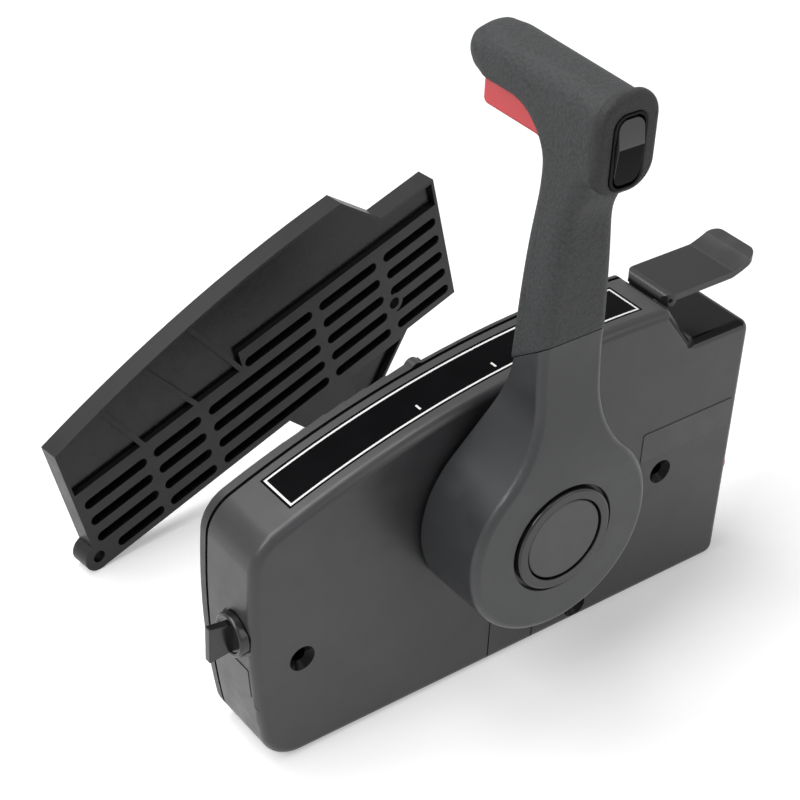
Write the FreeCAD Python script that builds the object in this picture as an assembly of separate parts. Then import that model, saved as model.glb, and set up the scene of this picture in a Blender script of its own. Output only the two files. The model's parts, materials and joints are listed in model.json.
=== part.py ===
import FreeCAD, Part
import math
import os

# Side-mount remote control for an outboard engine: a two-piece moulded box with a single
# T-handled lever, and the slotted spacer plate that goes behind it, shown standing beside it.
# Millimetres. Origin on the lever's pivot axis, in the rear mounting plane of the box.
# +Z is up, +X points aft along the box, and the operator is on the -Y side.

V = FreeCAD.Vector

# General fits
GAP = 0.3
RUNNING = 0.05
SKIN = 0.1
THROUGH = (-300.0, 300.0)

# Box outline, seen from the operator's side
BASE_Z = -101.0
RIGHT_X = 145.3
TOP_Z = 63.0
TOP_MID_X = 60.0
TOP_RADIUS = 470.0
END_X = -132.5
END_Z = -8.0
END_RADIUS = 413.0
LOWER_LEFT_ROUND = 19.0
UPPER_LEFT_ROUND = 19.0
RIGHT_ROUND = 6.0
SHELF_Z = 39.0
SHELF_FOOT_X = 108.0
SHELF_LIP_X = 91.0
SHELF_ROUND = 6.0
LIP_ROUND = 4.0

# Box depth and walls
HOUSING_DEPTH = 35.0
COVER_DEPTH = 6.0
WALL = 2.5
FACE_ROUND = 4.5
COVER_ROUND = 1.5
COVER_FLOOR = 2.6
COVER_LIP = 2.0
COVER_LIP_WALL = 1.6
COVER_STEP_X = -21.0
COVER_STEP_IN = 3.5
COVER_STEP_DEPTH = 3.5
HUMP_X = -24.0
HUMP_R = 4.0
HUMP_PROUD = 1.0
SEAM_GROOVE = 0.8
FRONT_Y = -(HOUSING_DEPTH + COVER_DEPTH)
SEAM_Y = -COVER_DEPTH
INNER_FRONT_Y = FRONT_Y + WALL

# Three countersunk holes that take the mounting screws through the box
MOUNT_HOLES = ((-106.8, -45.2), (51.6, -91.8), (97.9, -30.5))
MOUNT_HOLE_R = 3.3
MOUNT_SINK_R = 6.4
MOUNT_TUBE_R = 6.8

# Cover screws
COVER_SCREW_XZ = ((-117.0, -76.0), (-119.0, 10.0), (8.0, 50.0), (134.0, 28.0), (134.0, -90.0), (18.0, -91.0))
COVER_SCREW_R = 1.5
COVER_SCREW_HEAD_R = 3.2
COVER_SCREW_HEAD = 1.8
COVER_SCREW_LONG = 16.0
COVER_POST_R = 4.2
FLOOR_RIB_X = (-70.0, 0.0, 90.0)
FLOOR_RIB_Y = INNER_FRONT_Y + 4.5

# Two shallow split lines under the hub
SPLIT_X = (-1.5, 25.0)
SPLIT_TOP_Z = -55.0
SPLIT_WIDE = 0.7
SPLIT_DEEP = 0.6

# Label plates
ARC_LABEL_X = (-108.5, 80.0)
ARC_LABEL_Y = (FRONT_Y + 8.2, SEAM_Y - 5.0)
ARC_LABEL_SINK = 1.0
ARC_LABEL_THICK = 0.8
SIDE_LABEL_X = (83.5, 140.6)
SIDE_LABEL_Z = (-20.5, -3.6)
END_LABEL_Y = (FRONT_Y + 5.2, FRONT_Y + 20.5)
END_LABEL_Z = (-60.0, -44.0)
LABEL_THICK = 0.3

# Lever shaft and its bushes
SHAFT_R = 7.0
SHAFT_FLAT = 1.2
CORE_R = 22.0
CORE_FRONT_Y = FRONT_Y - 25.0
CORE_BACK_Y = FRONT_Y - 5.0
CORE_ARM_Y = (FRONT_Y - 29.5, FRONT_Y - 21.0)
CORE_WEB_Y = (FRONT_Y - 23.0, FRONT_Y - 17.0)
CORE_TOP_Z = 186.0
CORE_ARM_X = (-9.0, 3.2)
CORE_ARM_LOW_Z = 12.0
FLAT_END_Y = FRONT_Y - 11.0
BOLT_R = 3.0
BOLT_LONG = 14.0
BOLT_WASHER_R = 7.0
BOLT_WASHER = 1.0
BOLT_HEAD_R = 5.4
BOLT_HEAD = 3.0
SHAFT_END_Y = INNER_FRONT_Y + 28.5
BUSH_WALL = 3.0
BUSH_FLANGE_R = 14.0
BUSH_FLANGE = 1.6
BOSS_R = 15.0
BOSS_END_Y = INNER_FRONT_Y + 9.5
REAR_BUSH_WALL = 2.5
REAR_BUSH_FLANGE = 2.0

# Frame plate inside the box
FRAME_Y = (INNER_FRONT_Y + 24.5, INNER_FRONT_Y + 27.0)
FRAME_POSTS = ((-62.0, 18.0), (62.0, 22.0), (-18.0, -84.0), (82.0, -70.0))
FRAME_POST_R = 4.5
FRAME_SCREW_R = 1.6
FRAME_HEAD_R = 3.0
FRAME_HEAD = 1.8

# Gear train: the lever's gear drives a shift gear and a throttle gear
MODULE = 2.0
DRIVE_TEETH = 24
SHIFT_TEETH = 24
THROTTLE_TEETH = 32
GEAR_Y = (INNER_FRONT_Y + 10.0, INNER_FRONT_Y + 16.0)
CENTRE_EXTRA = 0.25
TOOTH_BACKLASH = 0.35
SHIFT_BEARING = -41.5
THROTTLE_BEARING = -138.6
STUD_R = 5.0
GEAR_HUB_R = 9.0
ARM_Y = (INNER_FRONT_Y + 17.0, INNER_FRONT_Y + 20.0)
ARM_END_R = 6.0
ARM_PIN_R = 2.5
ARM_PIN_END_Y = INNER_FRONT_Y + 23.0
SHIFT_ARM_LONG = 38.0
THROTTLE_ARM_LONG = 44.0

# Neutral detent on the lever's gear
DETENT_R = 16.0
DETENT_ROLLER_R = 4.0
DETENT_NOTCH = 1.6
DETENT_LEAF = 0.8
DETENT_LEAF_X = (-5.0, 52.0)
DETENT_FOOT = 6.0
DETENT_CHEEK = 5.0
SWITCH_SIZE = (20.0, 6.0, 10.0)
SWITCH_CORNER = (-46.0, 2.0)
SWITCH_LEVER = 25.0

# Throttle friction: a shoe on the throttle gear's drum, pressed by the knob on the box's end
DRUM_R = 20.0
DRUM_Y = (INNER_FRONT_Y + 1.5, INNER_FRONT_Y + 9.5)
KNOB_Y = INNER_FRONT_Y + 10.0
KNOB_Z = -27.0
KNOB_FLANGE_R = 10.3
KNOB_FLANGE = 4.6
KNOB_FIN_HIGH = 18.5
KNOB_FIN_THICK = 4.4
KNOB_FIN_OUT = 11.5
FRICTION_SPINDLE_R = 3.0
FRICTION_SHOE_THICK = 18.0
FRICTION_SHOE_HEEL = 3.0
FRICTION_SHOE_Z = (-36.0, -24.0)
FRICTION_NUT_R = 8.0
FRICTION_NECK_R = 4.8
FRICTION_NUT_LONG = 12.0

# Switches on the aft end
SWITCH_Y = (INNER_FRONT_Y + SEAM_Y) / 2
KEY_Z = 8.0
KEY_BODY_R = 11.0
KEY_BODY_LONG = 34.0
KEY_NECK_R = 9.0
KEY_NUT_R = 13.0
KEY_NUT = 3.4
KEY_CAP_R = 10.5
KEY_CAP_OUT = 6.5
KEY_ROTOR_R = 6.5
KEY_SLOT = (9.0, 2.4)
CHOKE_TRAVEL = 3.0
STOP_Z = -56.0
STOP_BODY_R = 9.0
STOP_BODY_LONG = 24.0
STOP_NECK_R = 7.5
STOP_NUT_R = 11.0
STOP_NUT = 3.2
STOP_HEAD_R = 8.0
STOP_HEAD = 3.0
STOP_TRAVEL = 2.5
STOP_STEM_R = 4.0

# Openings in the box's bottom for the control cables and the wiring harness
CABLE_PORT_X = (-98.0, -62.0)
CABLE_PORT_Y = (SEAM_Y - 18.0, SEAM_Y - 2.5)
CLAMP_HIGH = 9.0
CLAMP_BASE = 3.0
CLAMP_GROOVE_R = 4.0
CLAMP_Z = -96.0
GROMMET_X = -38.0
GROMMET_Y = SEAM_Y - 16.0
GROMMET_R = 7.0
GROMMET_WALL = 2.0

# Fast idle lever, hinged at the top of the shelf
IDLE_PIN_X = 96.0
IDLE_PIN_Z = 62.2
IDLE_PIN_R = 1.0
IDLE_KNUCKLE_R = 3.2
IDLE_THICK = 3.4
IDLE_Y = (SEAM_Y - 28.8, SEAM_Y + 0.4)
IDLE_FLAT_X = 134.0
IDLE_END_X = 149.5
IDLE_RISE = 5.8
IDLE_CORNER = 6.0
BRACKET_Y = (SEAM_Y - 19.0, SEAM_Y - 2.5)
BRACKET_FOOT_Z = 42.0
BRACKET_NECK = 3.2
BRACKET_BARREL_R = 2.0

# Lever outline, seen from the operator's side
HUB_R = 48.0
HUB_FRONT_Y = FRONT_Y - 40.0
HUB_BACK_Y = FRONT_Y - 2.6
HUB_ROUND = 4.0
NECK_HALF = 17.0
NECK_BLEND = 52.0
NECK_Z = 104.0
LEVER_WALL = 3.0
ARM_FRONT_LOW = FRONT_Y - 35.0
ARM_BACK_LOW = FRONT_Y - 15.2
SLEEVE_FRONT_Z = 99.5
SLEEVE_BACK_Z = 85.0
SLEEVE_PROUD = 0.9

# Button at the middle of the hub
RING_R = 25.2
RING_HOLE_R = 20.4
RING_PROUD = 1.6
HUB_RECESS_R = 26.8
HUB_RECESS = 3.0
BUTTON_R = 19.6
BUTTON_PROUD = 1.0
BUTTON_TRAVEL = 4.0
BUTTON_STEM_R = 5.0
BUTTON_DEEP = 4.0
BUTTON_STEM = 3.0
BELLOWS_R = 8.5
BELLOWS_SWING = 1.0
BELLOWS_WALL = 0.8
BELLOWS_FOLDS = 4

# T-handle
GRIP_NEAR_Y = FRONT_Y - 51.6
GRIP_FAR_Y = FRONT_Y + 33.0
GRIP_FOOT_Z = 70.0
GRIP_TOP_Z = 215.2
GRIP_SLOPE = 0.026
GRIP_TOP_ROUND = 12.0
GRIP_LOW_Z = 194.6
GRIP_HALF = 14.4
GRIP_SHOULDER_Z = 199.0
GRIP_WIDTHS = ((18.3, 70.0), (17.5, 104.0), (14.8, 150.0), (13.4, 167.0), (13.7, 182.0), (14.4, 199.0))
GRIP_BEND = 20.0
GRIP_DOME = 10.0
GRIP_FRONT_ROUND = 6.5
GRIP_BACK_ROUND = 5.0
GRIP_WALL = 3.0
ARM_BACK_TOP = FRONT_Y - 17.0
ARM_BACK_ROWS = ((FRONT_Y - 16.0, 150.0), (FRONT_Y - 14.3, 100.0))
FLARE_LOW_Z = 146.0
FLARE_END_Z = 175.0
FLARE_ROWS = ((FRONT_Y - 37.8, 160.0, 0.974, 0.226), (FRONT_Y - 41.0, 168.0, 0.862, 0.506))
CAP_THICK = 5.0
CAP_HALF = 15.0
CAP_Z = (173.1, 215.0)
CAP_CORNER = 12.0
CAP_ROUND = 3.0
CAP_BACK_ROUND = 1.0
ROCKER_Z = 191.5
ROCKER_HALF = 6.3
ROCKER_HALF_HIGH = 13.6
ROCKER_ROUND = 4.2
ROCKER_RIDGE_Z = 194.0
ROCKER_RIDGE = 1.8
ROCKER_PROUD = 0.2
ROCKER_WELL_HALF = 8.4
ROCKER_WELL_HALF_HIGH = 16.0
ROCKER_WELL_ROUND = 6.0
ROCKER_AXLE_R = 1.5
ROCKER_AXLE_DEEP = 2.0
BEZEL_PROUD = 0.4
BEZEL_PLAY = (0.4, 1.2)
TRIGGER_Y = (FRONT_Y - 19.3, FRONT_Y + 21.3)
TRIGGER_HALF = 11.0
TRIGGER_LOW_Z = 183.5
TRIGGER_BEND = 6.5
TRIGGER_TAIL = 2.3
TRIGGER_TOP_Z = 203.0
TRIGGER_TRAVEL = 6.0
TRIGGER_ROUND = 2.0
ROD_R = 2.0
ROD_X = 7.6
ROD_Y = FRONT_Y - 25.5
TONGUE_HALF = 3.0
TONGUE_THICK = 3.0

# Spacer plate, in the box's own directions before it is stood on its two lower bosses
PLATE_THICK = 11.0
PLATE_LEFT_X = -108.5
PLATE_RIGHT_X = 138.2
PLATE_LOW_LEFT_Z = -53.0
PLATE_LOW_RIGHT_Z = -53.2
PLATE_TOP_RIGHT_Z = 26.3
PLATE_LEFT_TOP_Z = 28.5
PLATE_NOTCH_X = (79.6, 101.0)
PLATE_PEAK_Z = 51.3
PLATE_MID = (-24.4, 45.0)
PLATE_LEG_X = (17.4, 102.5)
PLATE_LEG_HALF = 9.0
PLATE_BOSS_R = 8.0
PLATE_LEG_BOSS_R = 5.6
PLATE_HOLE_R = 3.3
SLOT_LOW_Z = -46.3
SLOT_PITCH = 11.8
SLOT_HALF = 2.9
SLOT_FLOOR = 2.0
SLOT_COLUMNS = (
    ((-104.0, -65.5), 1, 4),
    ((-61.0, -30.6), 0, 4),
    ((-25.5, 47.0), 0, 4),
    ((52.0, 91.8), 0, 5),
    ((97.0, 134.6), 0, 5),
)
SHORT_SLOTS = (((-95.0, -65.5), 0), ((2.0, 47.0), 4))
POCKET_DEEP = 3.0
POCKET_RIM = 1.8
POCKET_LOW_Z = (-0.5, 10.5)
POCKET_RIB = 3.0
POCKET_RIBS = ((-64.0, -85.0), (-29.5, -56.0), (0.0, -24.0))
PLATE_YAW = 6.5
PLATE_X = -118.2
PLATE_Y = 117.7

os.makedirs("parts", exist_ok=True)


def box(x, y, z):
    """Block between the low and high values given for each axis."""
    corner = V(min(x), min(y), min(z))
    return Part.makeBox(abs(x[1] - x[0]), abs(y[1] - y[0]), abs(z[1] - z[0]), corner)


def rod_y(x, z, radius, y):
    """Cylinder along Y between two Y values."""
    return Part.makeCylinder(radius, abs(y[1] - y[0]), V(x, min(y), z), V(0, 1, 0))


def rod_x(y, z, radius, x):
    """Cylinder along X between two X values."""
    return Part.makeCylinder(radius, abs(x[1] - x[0]), V(min(x), y, z), V(1, 0, 0))


def rod_z(x, y, radius, z):
    """Cylinder along Z between two Z values."""
    return Part.makeCylinder(radius, abs(z[1] - z[0]), V(x, y, min(z)), V(0, 0, 1))


def cone_y(x, z, r_low, r_high, y):
    """Cone along Y, with a radius at each of two Y values."""
    return Part.makeCone(r_low, r_high, y[1] - y[0], V(x, y[0], z), V(0, 1, 0))


def line(a, b, y=0.0):
    """Straight edge between two XZ points in the plane at y."""
    return Part.makeLine(V(a[0], y, a[1]), V(b[0], y, b[1]))


def arc(a, mid, b, y=0.0):
    """Arc edge through three XZ points in the plane at y."""
    return Part.Arc(V(a[0], y, a[1]), V(mid[0], y, mid[1]), V(b[0], y, b[1])).toShape()


def plate(edges, y):
    """Solid from a closed chain of edges drawn at y[0], carried to y[1]."""
    face = Part.Face(Part.Wire(edges))
    return face.extrude(V(0, y[1] - y[0], 0))


def polygon(points, y):
    """Plate with straight sides through XZ points, between two Y values."""
    closed = list(points) + [points[0]]
    edges = [line(closed[i], closed[i + 1], y[0]) for i in range(len(points))]
    return plate(edges, y)


def round_upright(solid, corners):
    """Round the edges parallel to Y that stand at the XZ corners, each with its own radius."""
    for x, z, radius in corners:
        chosen = [e for e in solid.Edges if is_upright(e, x, z)]
        solid = solid.makeFillet(radius, chosen)
    return solid


def is_upright(edge, x, z):
    """True for an edge parallel to Y that passes close to (x, z)."""
    ends = [v.Point for v in edge.Vertexes]
    if len(ends) != 2 or abs(ends[0].y - ends[1].y) < 0.05:
        return False
    return all(abs(p.x - x) < 0.2 and abs(p.z - z) < 0.2 for p in ends)


def edges_at(solid, y):
    """Edges that lie in the plane at y."""
    return [e for e in solid.Edges if e.BoundBox.YMax < y + 0.01 and e.BoundBox.YMin > y - 0.01]


def face_at(solid, y):
    """Largest flat face in the plane at y."""
    flat = [f for f in solid.Faces if f.BoundBox.YLength < 0.01 and abs(f.BoundBox.YMin - y) < 0.01]
    return max(flat, key=lambda f: f.Area)


def rounded_slot(x, z, half, y):
    """Slot along X between two X values, with round ends."""
    a, b = x[0] + half, x[1] - half
    bar = box((a, b), y, (z - half, z + half))
    return bar.fuse(rod_y(a, z, half, y)).fuse(rod_y(b, z, half, y)).removeSplitter()


def rounded_rect(half_x, half_z, radius, y, z_mid=0.0, x_mid=0.0):
    """Upright block with four rounded corners, centred on (x_mid, z_mid)."""
    block = box((x_mid - half_x, x_mid + half_x), y, (z_mid - half_z, z_mid + half_z))
    corners = [(x_mid + i * half_x, z_mid + j * half_z, radius) for i in (-1, 1) for j in (-1, 1)]
    return round_upright(block, corners)


def turned(solid, x, z, degrees):
    """Copy turned about the line parallel to Y through (x, z)."""
    copy = solid.copy()
    copy.rotate(V(x, 0, z), V(0, 1, 0), degrees)
    return copy


def save(node, shape):
    """Write one node's solids."""
    shape.exportStep("parts/%s.step" % node)


# The box


def top_z(x, inset=0.0):
    """Height of the crowned top at x."""
    radius = TOP_RADIUS - inset
    return TOP_Z - TOP_RADIUS + math.sqrt(radius ** 2 - (x - TOP_MID_X) ** 2)


def end_x(z, inset=0.0):
    """Place of the bowed left end at height z."""
    radius = END_RADIUS - inset
    return END_X + END_RADIUS - math.sqrt(radius ** 2 - (z - END_Z) ** 2)


def upper_left(inset=0.0):
    """Corner where the crowned top meets the bowed end."""
    x = END_X
    for _ in range(20):
        x = end_x(top_z(x, inset), inset)
    return x, top_z(x, inset)


def shelf_slope(inset):
    """Foot and lip of the slanted wall above the shelf."""
    lip_z = top_z(SHELF_LIP_X)
    run, rise = SHELF_FOOT_X - SHELF_LIP_X, lip_z - SHELF_Z
    shift = inset * math.hypot(run, rise) / rise
    def at(z):
        return SHELF_FOOT_X - shift - (z - SHELF_Z) * run / rise
    foot = (at(SHELF_Z - inset), SHELF_Z - inset)
    z = lip_z
    for _ in range(20):
        z = top_z(at(z), inset)
    return foot, (at(z), z)


def corner_points(inset):
    """The six corners of the box outline, moved in by an inset, each with its radius."""
    foot, lip = shelf_slope(inset)
    def convex(radius):
        return max(radius - inset, 0.6)
    return [
        ((end_x(BASE_Z + inset, inset), BASE_Z + inset), convex(LOWER_LEFT_ROUND)),
        ((RIGHT_X - inset, BASE_Z + inset), convex(RIGHT_ROUND)),
        ((RIGHT_X - inset, SHELF_Z - inset), convex(RIGHT_ROUND)),
        (foot, SHELF_ROUND + inset),
        (lip, convex(LIP_ROUND)),
        (upper_left(inset), convex(UPPER_LEFT_ROUND)),
    ]


def box_inset(inset, y):
    """Solid box outline with rounded corners, moved in all round, between two Y values."""
    corners = corner_points(inset)
    points = [corner for corner, _ in corners]
    edges = [line(points[i], points[i + 1], y[0]) for i in range(4)]
    edges.append(arc(points[4], (0.0, top_z(0.0, inset)), points[5], y[0]))
    edges.append(arc(points[5], (end_x(-40.0, inset), -40.0), points[0], y[0]))
    return round_upright(plate(edges, y), [(x, z, radius) for (x, z), radius in corners])


def box_block(y):
    """Box outline at its full size."""
    return box_inset(0.0, y)


def arc_band(inset, thick, x, y):
    """Curved plate that follows the crowned top, its upper side inset below the top."""
    def at(px, depth):
        return (px, top_z(px, depth))
    low = inset + thick
    mid = (x[0] + x[1]) / 2
    edges = [
        arc(at(x[0], inset), at(mid, inset), at(x[1], inset), y[0]),
        line(at(x[1], inset), at(x[1], low), y[0]),
        arc(at(x[1], low), at(mid, low), at(x[0], low), y[0]),
        line(at(x[0], low), at(x[0], inset), y[0]),
    ]
    return plate(edges, y)


def mount_bores(y_front, y_back):
    """The three mounting bores with their countersinks at the front."""
    cuts = []
    sink = MOUNT_SINK_R - MOUNT_HOLE_R
    for x, z in MOUNT_HOLES:
        cuts.append(rod_y(x, z, MOUNT_HOLE_R, (y_front - 1, y_back + 1)))
        cuts.append(cone_y(x, z, MOUNT_SINK_R, MOUNT_HOLE_R, (y_front, y_front + sink)))
    return cuts


def front_housing():
    shell = box_block((FRONT_Y, SEAM_Y))
    shell = shell.makeFillet(FACE_ROUND, edges_at(shell, FRONT_Y))
    hollow = box_inset(WALL, (INNER_FRONT_Y, SEAM_Y))
    inside = [rod_y(x, z, MOUNT_TUBE_R, (INNER_FRONT_Y - 1, SEAM_Y)) for x, z in MOUNT_HOLES]
    inside += [rod_y(x, z, COVER_POST_R, (INNER_FRONT_Y - 1, SEAM_Y)) for x, z in COVER_SCREW_XZ]
    inside += [rod_y(x, z, FRAME_POST_R, (INNER_FRONT_Y - 1, FRAME_Y[0])) for x, z in FRAME_POSTS]
    inside += [rod_y(0, 0, BOSS_R, (INNER_FRONT_Y - 1, BOSS_END_Y))]
    inside += [box((x - 1, x + 1), (INNER_FRONT_Y - 1, FLOOR_RIB_Y), (BASE_Z, BASE_Z + 26)) for x in FLOOR_RIB_X]
    solid = shell.cut(hollow)
    envelope = box_inset(WALL / 2, (INNER_FRONT_Y - 1, SEAM_Y))
    for piece in inside:
        solid = solid.fuse(piece.common(envelope))
    cuts = mount_bores(FRONT_Y, SEAM_Y)
    cuts += [rod_y(0, 0, SHAFT_R + BUSH_WALL, (FRONT_Y - 1, BOSS_END_Y + 1))]
    tap_r = COVER_SCREW_R
    cuts += [rod_y(x, z, tap_r, (SEAM_Y - COVER_SCREW_LONG, SEAM_Y + 1)) for x, z in COVER_SCREW_XZ]
    cuts += [rod_y(x, z, FRAME_SCREW_R, (FRAME_Y[0] - 10, FRAME_Y[0] + 1)) for x, z in FRAME_POSTS]
    cuts += [split_line(x) for x in SPLIT_X]
    label_x = (ARC_LABEL_X[0] - GAP, ARC_LABEL_X[1] + GAP)
    label_y = (ARC_LABEL_Y[0] - GAP, ARC_LABEL_Y[1] + GAP)
    cuts += [arc_band(-1.0, ARC_LABEL_SINK + 1.0, label_x, label_y)]
    cuts += [rod_x(KNOB_Y, KNOB_Z, FRICTION_NECK_R, (END_X - 5, END_X + 12))]
    cuts += [rod_x(KNOB_Y, KNOB_Z, KNOB_FLANGE_R + 3 * GAP, (END_X - 5, end_x(KNOB_Z) + 2 * GAP))]
    cuts += [rod_x(SWITCH_Y, KEY_Z, KEY_NECK_R + SKIN, (RIGHT_X - 5, RIGHT_X + 5))]
    cuts += [rod_x(SWITCH_Y, STOP_Z, STOP_NECK_R + SKIN, (RIGHT_X - 5, RIGHT_X + 5))]
    cuts += [box(CABLE_PORT_X, CABLE_PORT_Y, (BASE_Z - 1, BASE_Z + WALL + 1))]
    cuts += [rod_z(GROMMET_X, GROMMET_Y, GROMMET_R, (BASE_Z - 1, BASE_Z + WALL + 1))]
    slot_y = (BRACKET_Y[0] - SKIN, BRACKET_Y[1] + SKIN)
    slot_x = (IDLE_PIN_X - BRACKET_NECK / 2 - SKIN, IDLE_PIN_X + BRACKET_NECK / 2 + SKIN)
    cuts += [box(slot_x, slot_y, (BRACKET_FOOT_Z, TOP_Z + 5))]
    for piece in cuts:
        solid = solid.cut(piece)
    return solid.removeSplitter()


def split_line(x):
    """Thin groove that runs up the face from the box's bottom."""
    half = SPLIT_WIDE / 2
    return box((x - half, x + half), (FRONT_Y - 1, FRONT_Y + SPLIT_DEEP), (BASE_Z - 1, SPLIT_TOP_Z))


def back_cover():
    slab = box_block((SEAM_Y, 0.0))
    slab = slab.makeFillet(COVER_ROUND, edges_at(slab, 0.0))
    rim = box_block((-COVER_STEP_DEPTH, 1.0)).cut(box_inset(COVER_STEP_IN, (-COVER_STEP_DEPTH - 1, 2.0)))
    rim = rim.common(box((COVER_STEP_X, RIGHT_X + 1), (-COVER_STEP_DEPTH, 1), (0, TOP_Z + 5)))
    solid = slab.cut(rim)
    groove_y = (SEAM_Y, SEAM_Y + SEAM_GROOVE)
    solid = solid.cut(box_block(groove_y).cut(box_inset(SEAM_GROOVE, groove_y)))
    hump_z = top_z(HUMP_X) + HUMP_PROUD - HUMP_R
    solid = solid.fuse(rod_y(HUMP_X, hump_z, HUMP_R, (groove_y[1], 0.0)))
    lip_out = box_inset(WALL + SKIN, (SEAM_Y - COVER_LIP, SEAM_Y))
    lip_in = box_inset(WALL + SKIN + COVER_LIP_WALL, (SEAM_Y - COVER_LIP - 1, SEAM_Y + 1))
    solid = solid.fuse(lip_out.cut(lip_in))
    pocket = box_inset(COVER_STEP_IN + 3.0, (SEAM_Y - 1, -COVER_FLOOR))
    keep = [rod_y(x, z, MOUNT_TUBE_R + 2, (SEAM_Y - 2, 0)) for x, z in MOUNT_HOLES]
    keep += [rod_y(x, z, COVER_POST_R + 1.5, (SEAM_Y - 2, 0)) for x, z in COVER_SCREW_XZ]
    keep += [box((x - 1.2, x + 1.2), (SEAM_Y - 1, 0), (BASE_Z, TOP_Z)) for x in (-75.0, 75.0)]
    for piece in keep:
        pocket = pocket.cut(piece)
    solid = solid.cut(pocket)
    around = [rod_y(x, z, MOUNT_TUBE_R + 2 * SKIN, (SEAM_Y - 5, SEAM_Y)) for x, z in MOUNT_HOLES]
    around += [rod_y(x, z, COVER_POST_R + 2 * SKIN, (SEAM_Y - 5, SEAM_Y)) for x, z in COVER_SCREW_XZ]
    around += [box(CABLE_PORT_X, (SEAM_Y - 5, SEAM_Y), (BASE_Z - 1, BASE_Z + 12))]
    for x, z in MOUNT_HOLES:
        around.append(rod_y(x, z, MOUNT_HOLE_R, (SEAM_Y - 1, 1)))
    for x, z in COVER_SCREW_XZ:
        around.append(rod_y(x, z, COVER_SCREW_R + SKIN, (SEAM_Y - 1, 1)))
        head_y = (-COVER_SCREW_HEAD - SKIN, 1)
        around.append(rod_y(x, z, COVER_SCREW_HEAD_R + SKIN, head_y))
    for piece in around:
        solid = solid.cut(piece)
    return solid.removeSplitter()


def cover_screws():
    solids = []
    for x, z in COVER_SCREW_XZ:
        head = rod_y(x, z, COVER_SCREW_HEAD_R, (-COVER_SCREW_HEAD, -SKIN))
        shank = rod_y(x, z, COVER_SCREW_R - RUNNING, (SEAM_Y - COVER_SCREW_LONG + 1, -COVER_SCREW_HEAD))
        cross = box((x - 1.6, x + 1.6), (-1.1, 0), (z - 0.35, z + 0.35))
        cross = cross.fuse(box((x - 0.35, x + 0.35), (-1.1, 0), (z - 1.6, z + 1.6)))
        solids.append(head.fuse(shank).cut(cross))
    return Part.makeCompound(solids)


def arc_label():
    inset = ARC_LABEL_SINK - ARC_LABEL_THICK - SKIN
    return arc_band(inset, ARC_LABEL_THICK, ARC_LABEL_X, ARC_LABEL_Y)


def side_label():
    half_x = (SIDE_LABEL_X[1] - SIDE_LABEL_X[0]) / 2
    half_z = (SIDE_LABEL_Z[1] - SIDE_LABEL_Z[0]) / 2
    x_mid = SIDE_LABEL_X[0] + half_x
    z_mid = SIDE_LABEL_Z[0] + half_z
    return rounded_rect(half_x, half_z, 1.5, (FRONT_Y - LABEL_THICK, FRONT_Y), z_mid, x_mid)


def end_label():
    def at(z, out):
        return (end_x(z, -out), z)
    low, high = END_LABEL_Z
    mid = (low + high) / 2
    y = END_LABEL_Y
    edges = [
        arc(at(low, 0), at(mid, 0), at(high, 0), y[0]),
        line(at(high, 0), at(high, LABEL_THICK), y[0]),
        arc(at(high, LABEL_THICK), at(mid, LABEL_THICK), at(low, LABEL_THICK), y[0]),
        line(at(low, LABEL_THICK), at(low, 0), y[0]),
    ]
    return plate(edges, y)


# Bearings, frame and gear train inside the box


def place(distance, bearing):
    """XZ point at a distance and bearing from the lever's axis."""
    angle = math.radians(bearing)
    return distance * math.cos(angle), distance * math.sin(angle)


SHIFT_XZ = place(MODULE * (DRIVE_TEETH + SHIFT_TEETH) / 2 + CENTRE_EXTRA, SHIFT_BEARING)
THROTTLE_XZ = place(MODULE * (DRIVE_TEETH + THROTTLE_TEETH) / 2 + CENTRE_EXTRA, THROTTLE_BEARING)


def front_bush():
    radius = SHAFT_R + BUSH_WALL
    solid = rod_y(0, 0, radius, (FRONT_Y, BOSS_END_Y))
    solid = solid.fuse(rod_y(0, 0, BUSH_FLANGE_R, (FRONT_Y - BUSH_FLANGE, FRONT_Y)))
    return solid.cut(rod_y(0, 0, SHAFT_R + RUNNING, THROUGH))


def rear_bush():
    radius = SHAFT_R + REAR_BUSH_WALL
    end_y = FRAME_Y[1] + REAR_BUSH_FLANGE
    solid = rod_y(0, 0, radius, (FRAME_Y[0], end_y))
    solid = solid.fuse(rod_y(0, 0, radius + 2, (FRAME_Y[1], end_y)))
    return solid.cut(rod_y(0, 0, SHAFT_R + RUNNING, THROUGH))


def mechanism_frame():
    reach = (
        (-70.0, 26.0), (-26.0, 30.0), (26.0, 34.0), (70.0, 30.0), (90.0, -62.0),
        (88.0, -78.0), (30.0, -70.0), (-10.0, -92.0), (-26.0, -90.0), (-62.0, -60.0),
    )
    solid = polygon(reach, FRAME_Y)
    cuts = [rod_y(0, 0, SHAFT_R + REAR_BUSH_WALL, THROUGH)]
    cuts += [rod_y(x, z, STUD_R - 1.5, THROUGH) for x, z in (SHIFT_XZ, THROTTLE_XZ)]
    cuts += [rod_y(x, z, FRAME_SCREW_R + SKIN, THROUGH) for x, z in FRAME_POSTS]
    cuts += [rounded_slot((-52.0, -24.0), 12.0, 5.0, THROUGH)]
    cuts += [rounded_slot((28.0, 56.0), 8.0, 5.0, THROUGH)]
    for piece in cuts:
        solid = solid.cut(piece)
    return solid


def frame_screws():
    solids = []
    for x, z in FRAME_POSTS:
        head = rod_y(x, z, FRAME_HEAD_R, (FRAME_Y[1], FRAME_Y[1] + FRAME_HEAD))
        shank = rod_y(x, z, FRAME_SCREW_R - RUNNING, (FRAME_Y[0] - 9, FRAME_Y[1]))
        solids.append(head.fuse(shank))
    return Part.makeCompound(solids)


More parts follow.
